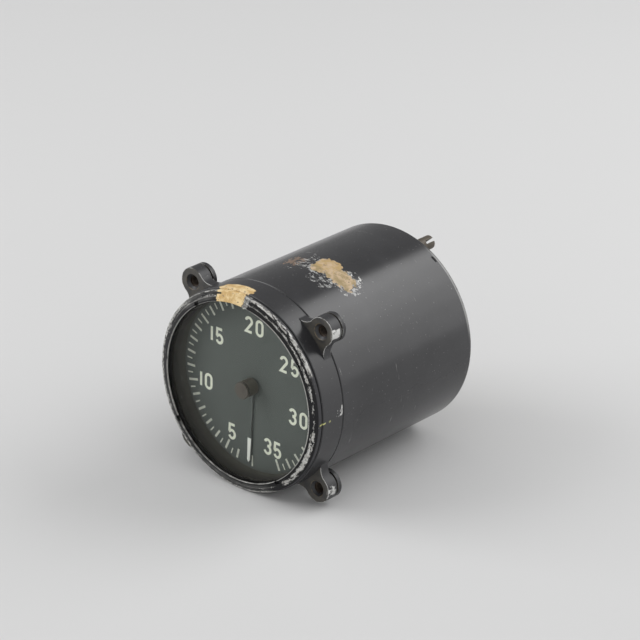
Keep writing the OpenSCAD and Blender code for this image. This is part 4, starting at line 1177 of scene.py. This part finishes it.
class TACHOMETER_OT_movement(bpy.types.Operator):
    """Pieces of the movement inside the case, and the plain screws"""
    bl_idname = "tachometer.movement"
    bl_label = "Movement"

    def execute(self, context):
        colours = context.scene.tachometer_finish
        plain = turned_metal("plain_steel", colours.steel, 0.34)
        paint(plain, "plate_screws", "pillar_screws", "sleeve_screws", "stop_pin", "case_screws",
              "union_screws", "bonding_washer")
        ground = turned_metal("ground_steel", colours.steel, 0.22, tarnish=0.15)
        paint(ground, "pointer_staff", "drive_spindle")
        brass = turned_metal("frame_brass", colours.brass, 0.3, tarnish=0.2)
        paint(brass, "front_plate", "frame_pillars", "rear_plate", "bearing_sleeve")
        bronze = turned_metal("bearing_bronze", colours.bronze, 0.3, tarnish=0.25)
        paint(bronze, "staff_bush", "spindle_bushes", "hairspring_stud", "hairspring_collet", "stop_arm",
              "drag_cup_hub", "rotor_hub")
        paint(turned_metal("spring_strip", colours.spring, 0.25, tarnish=0.2), "hairspring")
        paint(turned_metal("spun_cup", colours.aluminium, 0.26, tarnish=0.15), "drag_cup")
        paint(turned_metal("plated_iron", colours.iron, 0.34), "flux_cup")
        paint(cast_finish("magnet_alloy", colours.magnet, 0.45, grain=0.35, metallic=0.8), "magnet_rotor")
        paint(cast_finish("fibre", colours.fibre, 0.7, grain=0.5), "thrust_washer")
        paint(cast_finish("polished_jewel", colours.jewel, 0.08, grain=1.0), "pivot_jewel")
        return {"FINISHED"}


class TACHOMETER_OT_back(bpy.types.Operator):
    """Threaded drive union and the bonding screw on the back"""
    bl_idname = "tachometer.back"
    bl_label = "Back"

    def execute(self, context):
        colours = context.scene.tachometer_finish
        brass = turned_metal("tarnished_brass", colours.old_brass, 0.4, tarnish=0.75)
        mesh = union_mesh(context.scene.tachometer_thread)
        union = add_piece("drive_union_threaded", mesh, brass, "case")
        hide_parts("drive_union")
        dulled = turned_metal("dulled_brass", colours.bonding, 0.5, tarnish=0.4, metallic=0.4)
        paint(dulled, "bonding_screw")
        return {"FINISHED"}


OPERATORS = (TACHOMETER_OT_stage, TACHOMETER_OT_case, TACHOMETER_OT_bezel, TACHOMETER_OT_dial,
             TACHOMETER_OT_pointer, TACHOMETER_OT_movement, TACHOMETER_OT_back)
SETTINGS = {"tachometer_finish": TachometerFinish, "tachometer_dial": TachometerDial,
            "tachometer_thread": TachometerThread, "tachometer_stage": TachometerStage}


class TACHOMETER_PT_sidebar(bpy.types.Panel):
    """Lists the steps that dress the tachometer"""
    bl_idname = "TACHOMETER_PT_sidebar"
    bl_label = "Aircraft tachometer"
    bl_space_type = "VIEW_3D"
    bl_region_type = "UI"
    bl_category = "Tachometer"

    def draw(self, context):
        for operator in OPERATORS:
            self.layout.operator(operator.bl_idname)


def register():
    """Makes the settings, the operators and the panel known to Blender."""
    for group in SETTINGS.values():
        bpy.utils.register_class(group)
    for name, group in SETTINGS.items():
        setattr(bpy.types.Scene, name, PointerProperty(type=group))
    for kind in (*OPERATORS, TACHOMETER_PT_sidebar):
        bpy.utils.register_class(kind)


def unregister():
    """Takes back what register made known."""
    for kind in reversed((*OPERATORS, TACHOMETER_PT_sidebar)):
        bpy.utils.unregister_class(kind)
    for name, group in SETTINGS.items():
        delattr(bpy.types.Scene, name)
        bpy.utils.unregister_class(group)


def main():
    """Dresses the instrument step by step."""
    register()
    bpy.ops.tachometer.stage()
    bpy.ops.tachometer.case()
    bpy.ops.tachometer.bezel()
    bpy.ops.tachometer.dial()
    bpy.ops.tachometer.pointer()
    bpy.ops.tachometer.movement()
    bpy.ops.tachometer.back()


if __name__ == "__main__":
    main()
